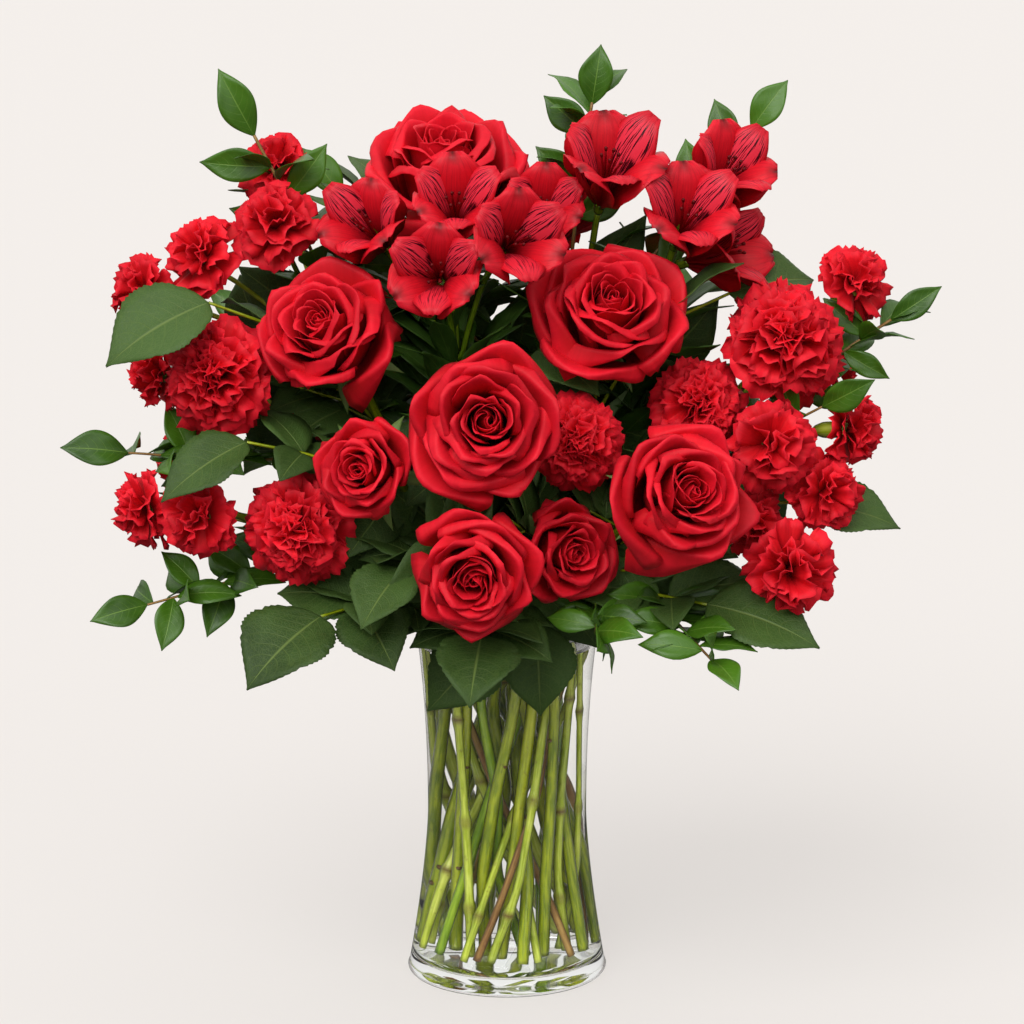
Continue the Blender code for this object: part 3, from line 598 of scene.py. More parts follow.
def stem_finish(name, dark, middle, light, joint, streaks, rough):
    """A stem's rind, with painted shade that darkens it where it turns away from the eye."""
    finish, tree, shader = new_finish(name, {"Roughness": rough})
    tints = {"Dark": (*dark, 1), "Middle": (*middle, 1), "Light": (*light, 1), "Joint": (*joint, 1)}
    rind = add_node(tree, "ShaderNodeGroup", tints | {"Streaks": streaks}, node_tree=rind_group).outputs
    # Painted shade: the rind's colour is mixed towards a darker copy of its dark green where the surface
    # turns away from the eye.
    facing = add_node(tree, "ShaderNodeLayerWeight", {"Blend": 0.5}).outputs["Facing"]
    painted_edge_shade = worked(tree, "MULTIPLY", ranged(tree, facing, 0.08, 0.60), 0.85)
    shaded = mixed(tree, painted_edge_shade, rind["Colour"], (*[part * 0.3 for part in dark], 1))
    fill(tree, shader, {"Base Color": shaded, "Normal": bumped(tree, rind["Height"], 0.45, 0.0006)})
    return finish


rose_rind, carnation_rind, alstroemeria_rind, twig_bark = [
    stem_finish(*row)
    for row in (
        (
            "rose_rind", (0.10, 0.16, 0.003), (0.27, 0.35, 0.006),
            (0.52, 0.57, 0.020), (0.12, 0.06, 0.015), 0.6, 0.22,
        ),
        (
            "carnation_rind", (0.26, 0.36, 0.012), (0.50, 0.60, 0.030),
            (0.80, 0.86, 0.18), (0.13, 0.065, 0.015), 0.5, 0.24,
        ),
        (
            "alstroemeria_rind", (0.09, 0.20, 0.005), (0.22, 0.38, 0.010),
            (0.42, 0.56, 0.030), (0.10, 0.12, 0.02), 0.5, 0.25,
        ),
        (
            "twig_bark", (0.20, 0.08, 0.02), (0.34, 0.17, 0.04),
            (0.46, 0.32, 0.08), (0.12, 0.05, 0.02), 0.6, 0.5,
        ),
    )
]


def numbered(kind):
    """The nodes of a kind, in the order of their numbers."""
    names = [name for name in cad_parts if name.rsplit("_", 1)[0] == kind]
    return sorted(names, key=lambda name: int(name.rsplit("_", 1)[1]))


# A head's depth is a share of its breadth, and its pole's height a share of its depth.
rose_depth, carnation_depth, spray_depth, lily_depth = 0.60, 0.46, 0.50, 0.95
rose_pole, domed_pole, lily_pole = 0.90, 1.0, 0.80
hip_radius, hip_length = 0.0055, 0.009
calyx_radius, calyx_length = 0.0075, 0.027
small_calyx_radius, small_calyx_length = 0.0046, 0.017
lily_cup_radius, lily_cup_length = 0.0032, 0.007


def add_cup(piece, base, axis, radius, length, stem_radius, tone):
    """The green cup under a head: the stem swells into it and its rim stands round the petals."""
    at = np.linspace(0, 1, 11)
    path = [np.array(base - axis * length * 1.05 + axis * length * 1.18 * share) for share in at]
    swell = np.array([stem_radius + (radius - stem_radius) * min(1, share / 0.34) ** 0.6 for share in at])
    swell[-3:] *= (1.0, 1.04, 1.06)
    add_tube(piece, path, swell, tone, np.zeros(len(at)), sides=16)


paths = {}
twigs = []
leaf_stalks = []
all_leaves = []
for kind, radius, joints in (("rose_stem", 0.0031, 0), ("carnation_stem", 0.0023, 0.062)):
    for number, node in enumerate(numbered(kind)):
        bloom = node.replace("stem", "bloom")
        is_rose = kind == "rose_stem"
        depth, pole = (rose_depth, rose_pole) if is_rose else (carnation_depth, domed_pole)
        base, axis, _ = heads_of(bloom, is_rose, depth, pole)[0]
        cup = (hip_radius, hip_length) if is_rose else (calyx_radius, calyx_length)
        path = main_path(node, radius)
        path = [p for p in path if (Vector(p) - base).length > cup[1] * 1.2]
        path += [np.array(base - axis * cup[1]), np.array(base - axis * cup[1] * 0.4)]
        path, at = resample(smooth(path, 5), 0.0035)
        paths[node] = path
        piece = Piece(node + "_shoot")
        tone = random.Random(number * 7 + is_rose).uniform(0.12, 0.42)
        radii, marks = stem_radii(at, radius, joints, number * 3 + 1)
        add_tube(piece, path, radii, tone, marks)
        add_cup(piece, base, axis, cup[0], cup[1], radius, tone)
        if is_rose:
            scar_dice = random.Random(number + 500)
            for _ in range(4):
                spot = scar_dice.randrange(3, max(4, len(path) // 2))
                turn = scar_dice.uniform(0, 6.28)
                out = np.array((math.cos(turn), math.sin(turn), 0.7))
                stub = [path[spot] + out * radius * share for share in (0.3, 0.85, 1.0, 1.08)]
                add_tube(piece, stub, [0.0017, 0.0015, 0.0014, 0.0008], tone, [0.2, 0.9, 1.0, 1.0], sides=8)
        leaves = leaves_of(node)
        all_leaves += [(node, leaf) for leaf in leaves]
        for side in side_paths(node, 0.0011, [(leaf[0], leaf[0] - leaf[1]) for leaf in leaves], path):
            stalk, at = resample(smooth(side, 3), 0.004)
            leaf_stalks.append((node, stalk))
            add_tube(piece, stalk, np.linspace(0.0009, 0.0015, len(at)), tone, np.zeros(len(at)), sides=8)
        piece.finish(rose_rind if is_rose else carnation_rind, kind, (node,))
spray_head = (False, spray_depth, domed_pole), (small_calyx_radius, small_calyx_length)
lily_head = (True, lily_depth, lily_pole), (lily_cup_radius, lily_cup_length)
for kind, radius, joints, (form, cup), rind, slot in (
    ("mini_carnation_spray", 0.0020, 0.05, spray_head, carnation_rind, "carnation_spray"),
    ("alstroemeria_stem", 0.0025, 0, lily_head, alstroemeria_rind, "alstroemeria"),
):
    for number, node in enumerate(numbered(kind)):
        heads = heads_of(node, *form)
        path = smooth(main_path(node, radius), 5)
        piece = Piece(node + "_shoot")
        tone = random.Random(number * 5 + 3).uniform(0.12, 0.42)
        path, at = resample(path, 0.0035)
        paths[node] = path
        radii, marks = stem_radii(at, radius, joints, number * 3 + 2)
        add_tube(piece, path, radii, tone, marks)
        ends = [(base - axis * cup[1], -axis) for base, axis, _ in heads]
        for side in side_paths(node, radius * 0.7, ends, path):
            branch, at = resample(smooth(side, 4), 0.0035)
            radii, marks = stem_radii(at, radius * 0.72, joints, number)
            add_tube(piece, branch, radii, tone, marks, sides=10)
        for base, axis, _ in heads:
            add_cup(piece, base, axis, cup[0], cup[1], radius * 0.7, tone)
        piece.finish(rind, slot, (node,))
for number, node in enumerate(numbered("green_branch")):
    leaves = leaves_of(node)
    all_leaves += [(node, leaf) for leaf in leaves]
    path = smooth(main_path(node, 0.0019), 5)
    gaps = [np.linalg.norm(path - np.array(leaf[0]), axis=1) for leaf in leaves]
    ends = [gap.argmin() for gap in gaps if gap.min() < 0.003]
    path, at = resample(path[: max(ends) + 1], 0.0035)
    paths[node] = path
    piece = Piece(node + "_shoot")
    tone = random.Random(number + 11).uniform(0.1, 0.4)
    add_tube(piece, path, np.linspace(0.0020, 0.0009, len(at)), tone, np.zeros(len(at)))
    for side in side_paths(node, 0.0011, [(leaf[0], leaf[0] - leaf[1]) for leaf in leaves], path):
        twig, at = resample(smooth(side, 4), 0.0035)
        twigs.append((node, twig))
        add_tube(piece, twig, np.linspace(0.0007, 0.0012, len(at)), tone, np.zeros(len(at)), sides=8)
    piece.finish(twig_bark, "green_branch", (node,))


# --- The roses ----------------------------------------------------------------------------------------
# Open red roses: broad velvety petals wound in a spiral round a tight heart. The outer petals are
# cupped, and their edges roll back and leave a point in the middle.
def sheet(across, along):
    """A flat grid, as (u from -1 to 1, v from 0 to 1) for each corner, and its faces."""
    bpy.ops.mesh.primitive_grid_add(x_subdivisions=across, y_subdivisions=along, size=2)
    grid = bpy.context.object
    corners = np.empty(len(grid.data.vertices) * 3)
    grid.data.vertices.foreach_get("co", corners)
    corners = corners.reshape(-1, 3)
    faces = [tuple(face.vertices) for face in grid.data.polygons]
    bpy.data.objects.remove(grid)
    return corners[:, 0], (corners[:, 1] + 1) / 2, np.array(faces)


rose_rows = 12  # seven up to the fold, three round it and two on the flap past it
rose_u, rose_v, rose_faces = sheet(14, rose_rows)
rose_row = np.round(rose_v * rose_rows)
petal_stations = (0.0, 0.2, 0.45, 0.7, 0.85, 1.0)  # from the heart to the outermost petal
petal_habits = {
    "half": (150, 96, 80, 66, 60, 54),  # half its width, degrees round the axis
    "rim": (0.02, 0.11, 0.26, 0.49, 0.70, 0.93),  # how far out its rim stands
    "top": (0.99, 1.05, 1.12, 1.06, 0.92, 0.68),  # how high its rim stands
    "lean": (-22, -4, 14, 36, 50, 66),  # how far its rim leans out, degrees
    "belly": (0.12, 0.20, 0.36, 0.46, 0.54, 0.62),
    "drop": (0.03, 0.06, 0.13, 0.24, 0.34, 0.42),  # how far down its sides the fold reaches
    "curl": (0.012, 0.015, 0.019, 0.026, 0.032, 0.036),  # the radius of the fold
    "most": (0.4, 0.9, 1.35, 1.8, 2.1, 2.3),  # how far it folds back, radians
}


def rose_petal(s, turn, dice, openness):
    """One petal, its map and the band along its fold that gets a painted highlight: s is 0 at the heart and 1
    outside, in units of the rose's radius.

    The petal follows a bellied curve up to a fold line, and past it the petal turns back and lies flat. The
    fold line drops towards both sides of the petal, which leaves a point in the middle of the rim.
    """
    u = rose_u
    habit = {name: float(np.interp(s, petal_stations, row)) for name, row in petal_habits.items()}
    half = math.radians(habit["half"]) * dice.uniform(0.80, 1.12)
    rim = habit["rim"] * openness * dice.uniform(0.94, 1.05)
    top = habit["top"] + dice.uniform(-0.04, 0.04)
    lean = math.radians(habit["lean"] + dice.uniform(-7, 7))
    start = np.array((0.09, 0.02))
    bulge = np.array((habit["belly"], 0.10))
    rim_end = np.array((rim, top))
    before = rim_end - 0.40 * np.array((math.sin(lean), math.cos(lean)))
    lively = min(1, s * 1.6)
    point = 0.075 * lively * dice.uniform(0.4, 1.3)
    skew = dice.uniform(-0.26, 0.26)
    fold = 1.03 - 0.03 * s - habit["drop"] * dice.uniform(0.6, 1.3) * np.abs(u - skew) ** 1.12
    curl, most = habit["curl"] * dice.uniform(0.7, 1.5), habit["most"] * dice.uniform(0.8, 1.1)
    corner = 1 - 0.13 * np.abs(u) ** 3
    crest = np.clip(fold / corner, 0.3, 0.95) - 0.008
    turned = crest + np.minimum(curl * most / 1.15 + 0.014, (1 - crest) * 0.7)
    up_to_fold = crest * np.interp(rose_row, range(8), (0, 0.30, 0.52, 0.68, 0.80, 0.89, 0.96, 1))
    round_fold = crest + (turned - crest) * (rose_row - 7) / 3
    past_fold = turned + (1 - turned) * (rose_row - 10) / 2
    v = np.where(rose_row <= 7, up_to_fold, np.where(rose_row <= 10, round_fold, past_fold))
    peak = v * corner + point * v**3 * np.maximum(0, 1 - np.abs(u) / 0.42)
    t = np.minimum(peak, fold)[:, None]
    r = 1 - t
    line = start * r**3 + bulge * 3 * r * r * t + before * 3 * r * t * t + rim_end * t**3
    along = (bulge - start) * r * r + (before - bulge) * 2 * r * t + (rim_end - before) * t * t
    along /= np.linalg.norm(along, axis=1)[:, None]
    outward = np.stack([along[:, 1], -along[:, 0]], axis=1)
    past = np.maximum(peak - fold, 0)[:, None] * 1.15
    roll = np.minimum(past / curl, most)
    line = line + curl * (along * np.sin(roll) + outward * (1 - np.cos(roll)))
    line = line + np.maximum(past - curl * most, 0) * (along * math.cos(most) + outward * math.sin(most))
    radius, height = line[:, 0], line[:, 1]
    phase = dice.uniform(0, 6.28)
    radius = radius + lively * (0.018 * np.sin(4.2 * u + phase) + 0.007 * np.sin(9 * u + phase * 2)) * v**3
    height = height + lively * 0.020 * np.sin(3.4 * u + phase * 1.7) * v**4
    width = 0.26 + 0.74 * np.clip(v / 0.5, 0, 1) ** 0.8
    width = width * (1 - 0.16 * np.clip((v - 0.75) / 0.25, 0, 1) ** 2)
    swing = u * half * width
    flat = 1 / np.cos(np.clip(swing, -1.1, 1.1) * 0.85) - 1
    radius = radius * (1 + lively * 0.32 * v * flat)
    spiral = (0.045 * (1 - s) + 0.022) * dice.uniform(0.4, 1.2)
    radius = np.maximum(radius + spiral * u * (1 if s < 0.12 else dice.choice((-1, 1, 1))), 0.004)
    radius = radius + lively * dice.uniform(-0.06, 0.06) * u * v
    height = height + lively * dice.uniform(-0.06, 0.06) * u * v
    angle = turn + swing
    aside = 0.05 * (1 - s)
    x = radius * np.cos(angle) + aside * dice.uniform(-1, 1)
    y = radius * np.sin(angle) + aside * dice.uniform(-1, 1)
    # The band along the fold line, which the petal material lightens to its rim colour as a painted highlight
    # on the rolled rim.
    edge = np.exp(-(((v - crest - 0.008) / 0.035) ** 2))
    return np.stack([x, y, height], axis=1), np.stack([(u + 1) / 2, v], axis=1), edge


def placed(points, base, axis, scale, spin):
    """Local points, +Z the flower's axis, set on their stem."""
    turn = axis.to_track_quat("Z", "Y").to_matrix() @ Matrix.Rotation(spin, 3, "Z")
    return points * scale @ np.array(turn).T + np.array(base)


# Red that is deeper at the petal's base, partly its own colour and partly painted shade, and brighter towards
# its rim, partly a painted highlight, in soft clouds, with fine veins.
petal_group, given, put_out = new_group(
    "petal_red",
    (("Deep", "colour"), ("Bright", "colour"), ("Rim", "colour"), ("Veins", "value"), ("Clouds", "value")),
    (("Colour", "colour"), ("Height", "value")),
)
place, from_base = split_map(petal_group)
each_petal, fold_highlight, _ = tones_of(petal_group)
cloud = noise_on(petal_group, place["Object"], given["Clouds"], 3.0)
rise = worked(petal_group, "ADD", from_base, worked(petal_group, "MULTIPLY_ADD", cloud, 0.34, -0.17))
colour = mixed(petal_group, ranged(petal_group, rise, 0.10, 0.66), given["Deep"], given["Bright"])
colour = mixed(petal_group, ranged(petal_group, rise, 0.74, 1.04), colour, given["Rim"])
# Painted highlight: the band along a rose petal's fold and the tip of a carnation petal are lightened towards
# the rim colour.
colour = mixed(petal_group, worked(petal_group, "MULTIPLY", fold_highlight, 0.6), colour, given["Rim"])
veins = noise_on(petal_group, place["UV"], 1.0, 3.0, (26.0, 1.6, 1.0))
weak = worked(petal_group, "MULTIPLY", ranged(petal_group, veins, 0.7, 0.3), given["Veins"])
colour = mixed(petal_group, weak, colour, given["Deep"])
own_light = ranged(petal_group, each_petal, 0.0, 1.0, 0.82, 1.08)
spread = add_node(petal_group, "ShaderNodeVectorMath", {0: colour, "Scale": own_light}, operation="SCALE")
fill(petal_group, put_out, {"Colour": spread.outputs["Vector"], "Height": veins})


def petal_finish(name, deep, bright, rim_colour, veins, clouds, rough, sheen):
    """A soft red petal, and the socket of its red."""
    finish, tree, shader = new_finish(
        name,
        {
            "Roughness": rough,
            "Specular IOR Level": 0.18,
            "Sheen Weight": sheen,
            "Sheen Roughness": 0.45,
            "Sheen Tint": (1.0, 0.12, 0.16, 1),
        },
    )
    reds = {"Deep": (*deep, 1), "Bright": (*bright, 1), "Rim": (*rim_colour, 1)}
    reds |= {"Veins": veins, "Clouds": clouds}
    red = add_node(tree, "ShaderNodeGroup", reds, node_tree=petal_group).outputs
    fill(tree, shader, {"Base Color": red["Colour"], "Normal": bumped(tree, red["Height"], 0.22, 0.0006)})
    return finish, red["Colour"]


rose_red, _ = petal_finish(
    "rose_petal", (0.30, 0.004, 0.006), (0.63, 0.007, 0.013), (0.82, 0.010, 0.028), 0.18, 60, 0.55, 0.03
)
large_rose = 0.036
rose_turn = math.radians(137.5)
for number, node in enumerate(numbered("rose_bloom")):
    base, axis, radius = heads_of(node, True, rose_depth, rose_pole)[0]
    dice = random.Random(40 + number)
    piece = Piece(node + "_petals")
    count, openness = (38, 1.0) if radius > large_rose else (32, 0.95)
    for index in range(count):
        s = index / (count - 1)
        turn = index * rose_turn + dice.uniform(-0.28, 0.28)
        petal, petal_map, edge = rose_petal(s, turn, dice, openness)
        petal = placed(petal, base, axis, radius * (1.15 if number == 0 else 1.09), number)
        tone = np.full(len(petal), dice.uniform(0.1, 0.9))
        piece.add(petal, rose_faces, petal_map, np.stack([tone, edge, tone * 0], axis=1))
    piece.finish(rose_red, "rose_petal", (node,), thickness=0.00035)


# --- The carnations -----------------------------------------------------------------------------------
# Dense double flowers: fan-shaped petals in a dome, ruffled, with a toothed edge, in a long green cup.
fan_u, fan_v, fan_faces = sheet(16, 5)
fan_map = np.stack([(fan_u + 1) / 2, fan_v], axis=1)
fan_column = np.round((fan_u + 1) * 8).astype(int)
golden_turn = 2.39996


def fan_petal(lean, turn, length, width, ruffle, dice):
    """One ruffled petal with a toothed rim, from the middle of the cup and out over its edge, in metres."""
    u, v = fan_u, fan_v
    notch = np.array([dice.uniform(0.03, 0.09) if k % 2 else dice.uniform(0, 0.02) for k in range(17)])
    sway = 0.04 * np.sin(3 * u + dice.uniform(0, 6))
    reach = v * (1 - notch[fan_column] * v**5 - 0.30 * np.abs(u) ** 3 + sway)
    bend = lean + math.radians(38) * reach**2 * dice.uniform(0.3, 1.2)
    out = length * reach * np.sin((lean * 0.9 + bend) / 2)
    up = length * reach * np.cos((lean * 0.9 + bend) / 2)
    aside = u * width * (0.10 + 0.90 * v**1.3) * (1 - 0.22 * v**6 * u**4)
    phase = dice.uniform(0, 6)
    wave = ruffle * v**2 * (np.sin(4.4 * u + phase) + 0.7 * np.sin(9.5 * u + phase * 1.7))
    wave = wave + ruffle * 0.5 * v**6 * np.sin(19 * u + phase)
    out, up = out + wave * np.cos(bend), up - wave * np.sin(bend)
    x = out * math.cos(turn) - aside * math.sin(turn)
    y = out * math.sin(turn) + aside * math.cos(turn)
    return np.stack([x, y, up], axis=1)


def add_carnation(piece, base, axis, radius, depth, count, broad, dice):
    """The petals of one head: crumpled and upright in the middle, wide and spread flat at the edge."""
    for index in range(count):
        s = (index + 0.5) / count
        lean = math.radians(-14 + 112 * s**0.8 + dice.uniform(-9, 9))
        turn = index * golden_turn + dice.uniform(-0.4, 0.4)
        along = depth * math.cos(lean) ** 2 + radius * 1.05 * math.sin(lean) ** 2
        along *= dice.uniform(0.84, 1.04)
        width = radius * broad * dice.uniform(0.75, 1.2) * (0.85 + 0.25 * s)
        crumple = radius * (0.15 - 0.06 * s) * dice.uniform(0.8, 1.3)
        petal = fan_petal(lean, turn, along, width, crumple, dice)
        shift = radius * 0.13 * (1 - s)
        petal += (shift * dice.uniform(-1, 1), shift * dice.uniform(-1, 1), radius * 0.08 * (1 - s))
        petal = placed(petal, base, axis, 1.0, 0.0)
        tone = np.full(len(petal), dice.uniform(0.0, 1.0))
        # The second tone rises sharply at the petal's tip, and the petal material lightens it to the rim
        # colour as a painted highlight.
        piece.add(petal, fan_faces, fan_map, np.stack([tone, fan_v**12, tone * 0], axis=1))


carnation_red, _ = petal_finish(
    "carnation_petal", (0.30, 0.002, 0.004), (0.72, 0.006, 0.014), (0.88, 0.014, 0.032), 0.24, 90, 0.6, 0.05
)
for number, node in enumerate(numbered("carnation_bloom")):
    base, axis, radius = heads_of(node, False, carnation_depth, domed_pole)[0]
    dice = random.Random(70 + number)
    piece = Piece(node + "_petals")
    add_carnation(piece, base, axis, radius, radius * 2 * carnation_depth, 48, 0.64, dice)
    piece.finish(carnation_red, "carnation_petal", (node,), thickness=0.0003)
for number, node in enumerate(numbered("mini_carnation_spray")):
    dice = random.Random(90 + number)
    piece = Piece(node + "_petals")
    for base, axis, radius in heads_of(node, False, spray_depth, domed_pole):
        add_carnation(piece, base, axis, radius, radius * 2 * spray_depth, 16, 0.86, dice)
    piece.finish(carnation_red, "carnation_spray", (), thickness=0.0003)


# --- The alstroemerias --------------------------------------------------------------------------------
# Trumpets of six petals: three broad outer ones with a dark tip, and three narrower inner ones, the
# upper two streaked with dark dashes. Six long stamens stand in the throat.
lily_u, lily_v, lily_faces = sheet(8, 12)
lily_map = np.stack([(lily_u + 1) / 2, lily_v], axis=1)
lily_lean, lily_recurve, lily_cupping = math.radians(8), math.radians(40), 0.34


def trumpet_petal(turn, length, width, flare):
    """One petal of a trumpet, from its narrow claw to its tip, in metres."""
    u, v = lily_u, lily_v
    outline = np.sin(np.clip(v, 0, 1) ** 1.25 * math.pi * 0.86 + 0.06) ** 0.9 + 0.05
    outline = outline * (1 - 0.25 * np.clip((v - 0.8) / 0.2, 0, 1))
    aside = u * width * np.maximum(outline, 0.06)
    lean = lily_lean + flare * v**1.6
    steps = np.linspace(0, 1, 60)
    leans = lily_lean + flare * steps**1.6 + lily_recurve * np.clip((steps - 0.7) / 0.3, 0, 1) ** 2
    out_run = np.concatenate([[0], np.cumsum(np.sin(leans))[:-1]]) / 60
    up_run = np.concatenate([[0], np.cumsum(np.cos(leans))[:-1]]) / 60
    out = np.interp(v, steps, out_run) * length + 0.0015
    up = np.interp(v, steps, up_run) * length
    fold = -lily_cupping * width * (u**2) * np.sin(v * math.pi)
    fold = fold + 0.05 * width * np.sin(9 * u + 3) * v**2
    fold = fold + 0.04 * width * np.sin(15 * v + turn) * np.abs(u) ** 3
    out, up = out - fold * np.cos(lean), up + fold * np.sin(lean)
    x = out * math.cos(turn) - aside * math.sin(turn)
    y = out * math.sin(turn) + aside * math.cos(turn)
    return np.stack([x, y, up], axis=1)


lily_reds = (0.22, 0.002, 0.005), (0.70, 0.005, 0.014), (0.82, 0.016, 0.036)
streaked, red = petal_finish("alstroemeria_petal", *lily_reds, 0.30, 70, 0.42, 0.0)
tree = streaked.node_tree
_, dashed, tipped = tones_of(tree)
dashes = noise_on(tree, add_node(tree, "ShaderNodeTexCoord").outputs["UV"], 1.0, 1.0, (36.0, 3.4, 1.0))
strength = worked(tree, "MULTIPLY", dashed, 2.2, clamp=True)
inked = worked(tree, "MULTIPLY", ranged(tree, dashes, 0.53, 0.565), strength)
colour = mixed(tree, dashed, red, (0.88, 0.045, 0.085, 1))
colour = mixed(tree, inked, colour, (0.045, 0.0008, 0.004, 1))
colour = mixed(tree, tipped, colour, (0.016, 0.006, 0.004, 1))
fill(tree, tree.nodes["Principled BSDF"], {"Base Color": colour})
for number, node in enumerate(numbered("alstroemeria_stem")):
    dice = random.Random(120 + number)
    piece = Piece(node + "_petals")
    for base, axis, radius in heads_of(node, True, lily_depth, lily_pole):
        depth = radius * 2 * lily_depth
        level = axis.to_track_quat("Z", "Y").to_matrix()
        skyward = level.transposed() @ Vector((0, 0, 1))
        up_turn = math.atan2(skyward.y, skyward.x)
        for index in range(6):
            outer = index % 2 == 0
            turn = up_turn + math.radians(index * 60) + dice.uniform(-0.08, 0.08)
            length = depth * (1.14 if outer else 1.22) * dice.uniform(0.94, 1.05)
            width = radius * (0.72 if outer else 0.50) * dice.uniform(0.92, 1.08)
            flare = math.radians((54 if outer else 46) + dice.uniform(-7, 7))
            petal = trumpet_petal(turn, length, width, flare)
            petal = placed(petal, base - axis * 0.001, axis, 1.0, 0.0)
            upper = (not outer) and index in (1, 5)
            marked = 0.72 if upper else 0.07 if outer else 0.34
            mark = np.clip((lily_v - 0.22) / 0.2, 0, 1) * np.clip((0.95 - lily_v) / 0.1, 0, 1) * marked
            mark = mark * (1 - np.abs(lily_u) ** 3)
            blotch = np.clip((lily_v - 0.87) / 0.08, 0, 1) * np.clip(1.2 - np.abs(lily_u) * 2.4, 0, 1)
            tipped = blotch * (0.95 if outer else 0.15)
            tone = np.full(len(petal), dice.uniform(0.1, 0.9))
            piece.add(petal, lily_faces, lily_map, np.stack([tone, mark, tipped], axis=1))
            lean = dice.uniform(0.10, 0.22)
            swing = turn + 0.5
            bow = [(share * lean * share, depth * 0.92 * share) for share in (0.1, 0.3, 0.5, 0.7, 0.82)]
            thread = np.array([(o * depth * math.cos(swing), o * depth * math.sin(swing), h) for o, h in bow])
            thread = placed(thread, base, axis, 1.0, 0.0)
            add_tube(piece, thread, [0.0005] * 5, 0.5, [0.0] * 5, sides=5)
            anther = [thread[-1] + (thread[-1] - thread[-2]) * share for share in (-0.1, 0.05, 0.2, 0.3)]
            add_tube(piece, anther, [0.0005, 0.0008, 0.0008, 0.0004], 0.2, [0.0] * 4, sides=6)
            piece.tones[-1][:, 2] = 0.45
    piece.finish(streaked, "alstroemeria", (), thickness=0.0004)


# --- The leaves ---------------------------------------------------------------------------------------
# Rose leaflets are broad, matt and saw-edged with sunken veins. The branches' leaves are small, smooth
# and glossy. Both are folded a little along the midrib and curl at the tip.
def leaf_sheet(across, along):
    """A grid for leaves: its u, v and faces, and its map."""
    u, v, faces = sheet(across, along)
    return u, v, faces, np.stack([(u + 1) / 2, v], axis=1)


leaf_grid = leaf_sheet(8, 44)
small_grid = leaf_sheet(4, 9)  # for sepals and for leaves deep in the bouquet


def add_leaf(piece, grid, base, tip, face, width, teeth, dice, fold=0.20, curl=0.10, slender=False):
    """A leaf between its base and tip: egg-shaped, or slender and pointed at both ends."""
    u, v, faces, across = grid
    run = np.array(tip - base)
    length = np.linalg.norm(run)
    run = run / length
    up = np.array(face)
    up = up - run * (up @ run)
    up /= np.linalg.norm(up)
    side = np.cross(run, up)
    low_power, more, lower = (0.95, 0.20, 0.94) if slender else (0.66, 0.50, 0.80)
    outline = np.sin(math.pi * np.clip(v, 0, 1) ** lower) ** (low_power + more * v) + 0.010
    outline = outline * (1 + 0.05 * np.sin(v * 5 + dice.uniform(0, 6)) * np.sign(u))
    if teeth:
        saw = (v * teeth) % 1
        outline = outline * (1 + 0.075 * (0.5 - saw) * np.abs(u) ** 4)
    aside = u * width / 2 * outline
    lift = 4 * leaf_camber * length * v * (1 - v) + fold * np.abs(aside)
    lift = lift - curl * length * np.clip(v - 0.6, 0, 1) ** 2
    lift = lift + 0.012 * length * np.sin(v * 9 + dice.uniform(0, 6)) * np.abs(u) ** 2
    lift = lift + 0.010 * length * np.sin(v * 14 + np.abs(u) * 5) * np.abs(u)
    points = np.array(base) + np.outer(v * length, run) + np.outer(aside, side) + np.outer(lift, up)
    tone = np.full(len(points), dice.uniform(0.0, 1.0))
    piece.add(points, faces, across, np.stack([tone, np.abs(u), v], axis=1))


# Two greens in soft patches, a midrib, side veins that bend towards the tip, and a fine net between them.
leaf_group, given, put_out = new_group(
    "leaf_green",
    (("Dark", "colour"), ("Light", "colour"), ("Vein", "colour"), ("Side Veins", "value"), ("Net", "value")),
    (("Colour", "colour"), ("Height", "value")),
)
place, from_base = split_map(leaf_group)
each_leaf, from_rib, _ = tones_of(leaf_group)
cloud = noise_on(leaf_group, place["Object"], 48.0, 4.0)
blend = worked(leaf_group, "MULTIPLY_ADD", each_leaf, 0.55, cloud)
colour = mixed(leaf_group, ranged(leaf_group, blend, 0.30, 0.98), given["Dark"], given["Light"])
bend = worked(leaf_group, "MULTIPLY", worked(leaf_group, "POWER", from_rib, 1.5), -0.27)
stray = worked(leaf_group, "MULTIPLY_ADD", cloud, 0.07, bend)
row = worked(leaf_group, "MULTIPLY", worked(leaf_group, "ADD", from_base, stray), given["Side Veins"])
side_vein = ranged(leaf_group, worked(leaf_group, "PINGPONG", row, 0.5), 0.0, 0.075, 1.0, 0.0)
side_vein = worked(leaf_group, "MULTIPLY", side_vein, ranged(leaf_group, from_rib, 0.2, 1.0, 0.42, 0.10))
cells = {"Vector": stretched(leaf_group, place["UV"], (20.0, 34.0, 1.0)), "Scale": 1.0}
net = add_node(leaf_group, "ShaderNodeTexVoronoi", cells, feature="DISTANCE_TO_EDGE").outputs["Distance"]
mesh_line = worked(leaf_group, "MULTIPLY", ranged(leaf_group, net, 0.0, 0.12, 1.0, 0.0), given["Net"])
midrib = ranged(leaf_group, from_rib, 0.015, 0.05, 0.85, 0.0)
any_vein = worked(leaf_group, "MAXIMUM", worked(leaf_group, "MAXIMUM", side_vein, mesh_line), midrib)
colour = mixed(leaf_group, any_vein, colour, given["Vein"])
fill(leaf_group, put_out, {"Colour": colour, "Height": worked(leaf_group, "SUBTRACT", cloud, any_vein)})


def leaf_finish(name, dark, light, vein, side_veins, net, depth, rough, shine, coat):
    """A leaf's green, with its veins sunk by the depth."""
    polish = {"Roughness": rough, "Specular IOR Level": shine, "Coat Weight": coat, "Coat Roughness": 0.25}
    finish, tree, shader = new_finish(name, polish)
    greens = {"Dark": (*dark, 1), "Light": (*light, 1), "Vein": (*vein, 1)}
    greens |= {"Side Veins": side_veins, "Net": net}
    green = add_node(tree, "ShaderNodeGroup", greens, node_tree=leaf_group).outputs
    relief = bumped(tree, green["Height"], depth, 0.0008)
    fill(tree, shader, {"Base Color": green["Colour"], "Normal": relief})
    return finish


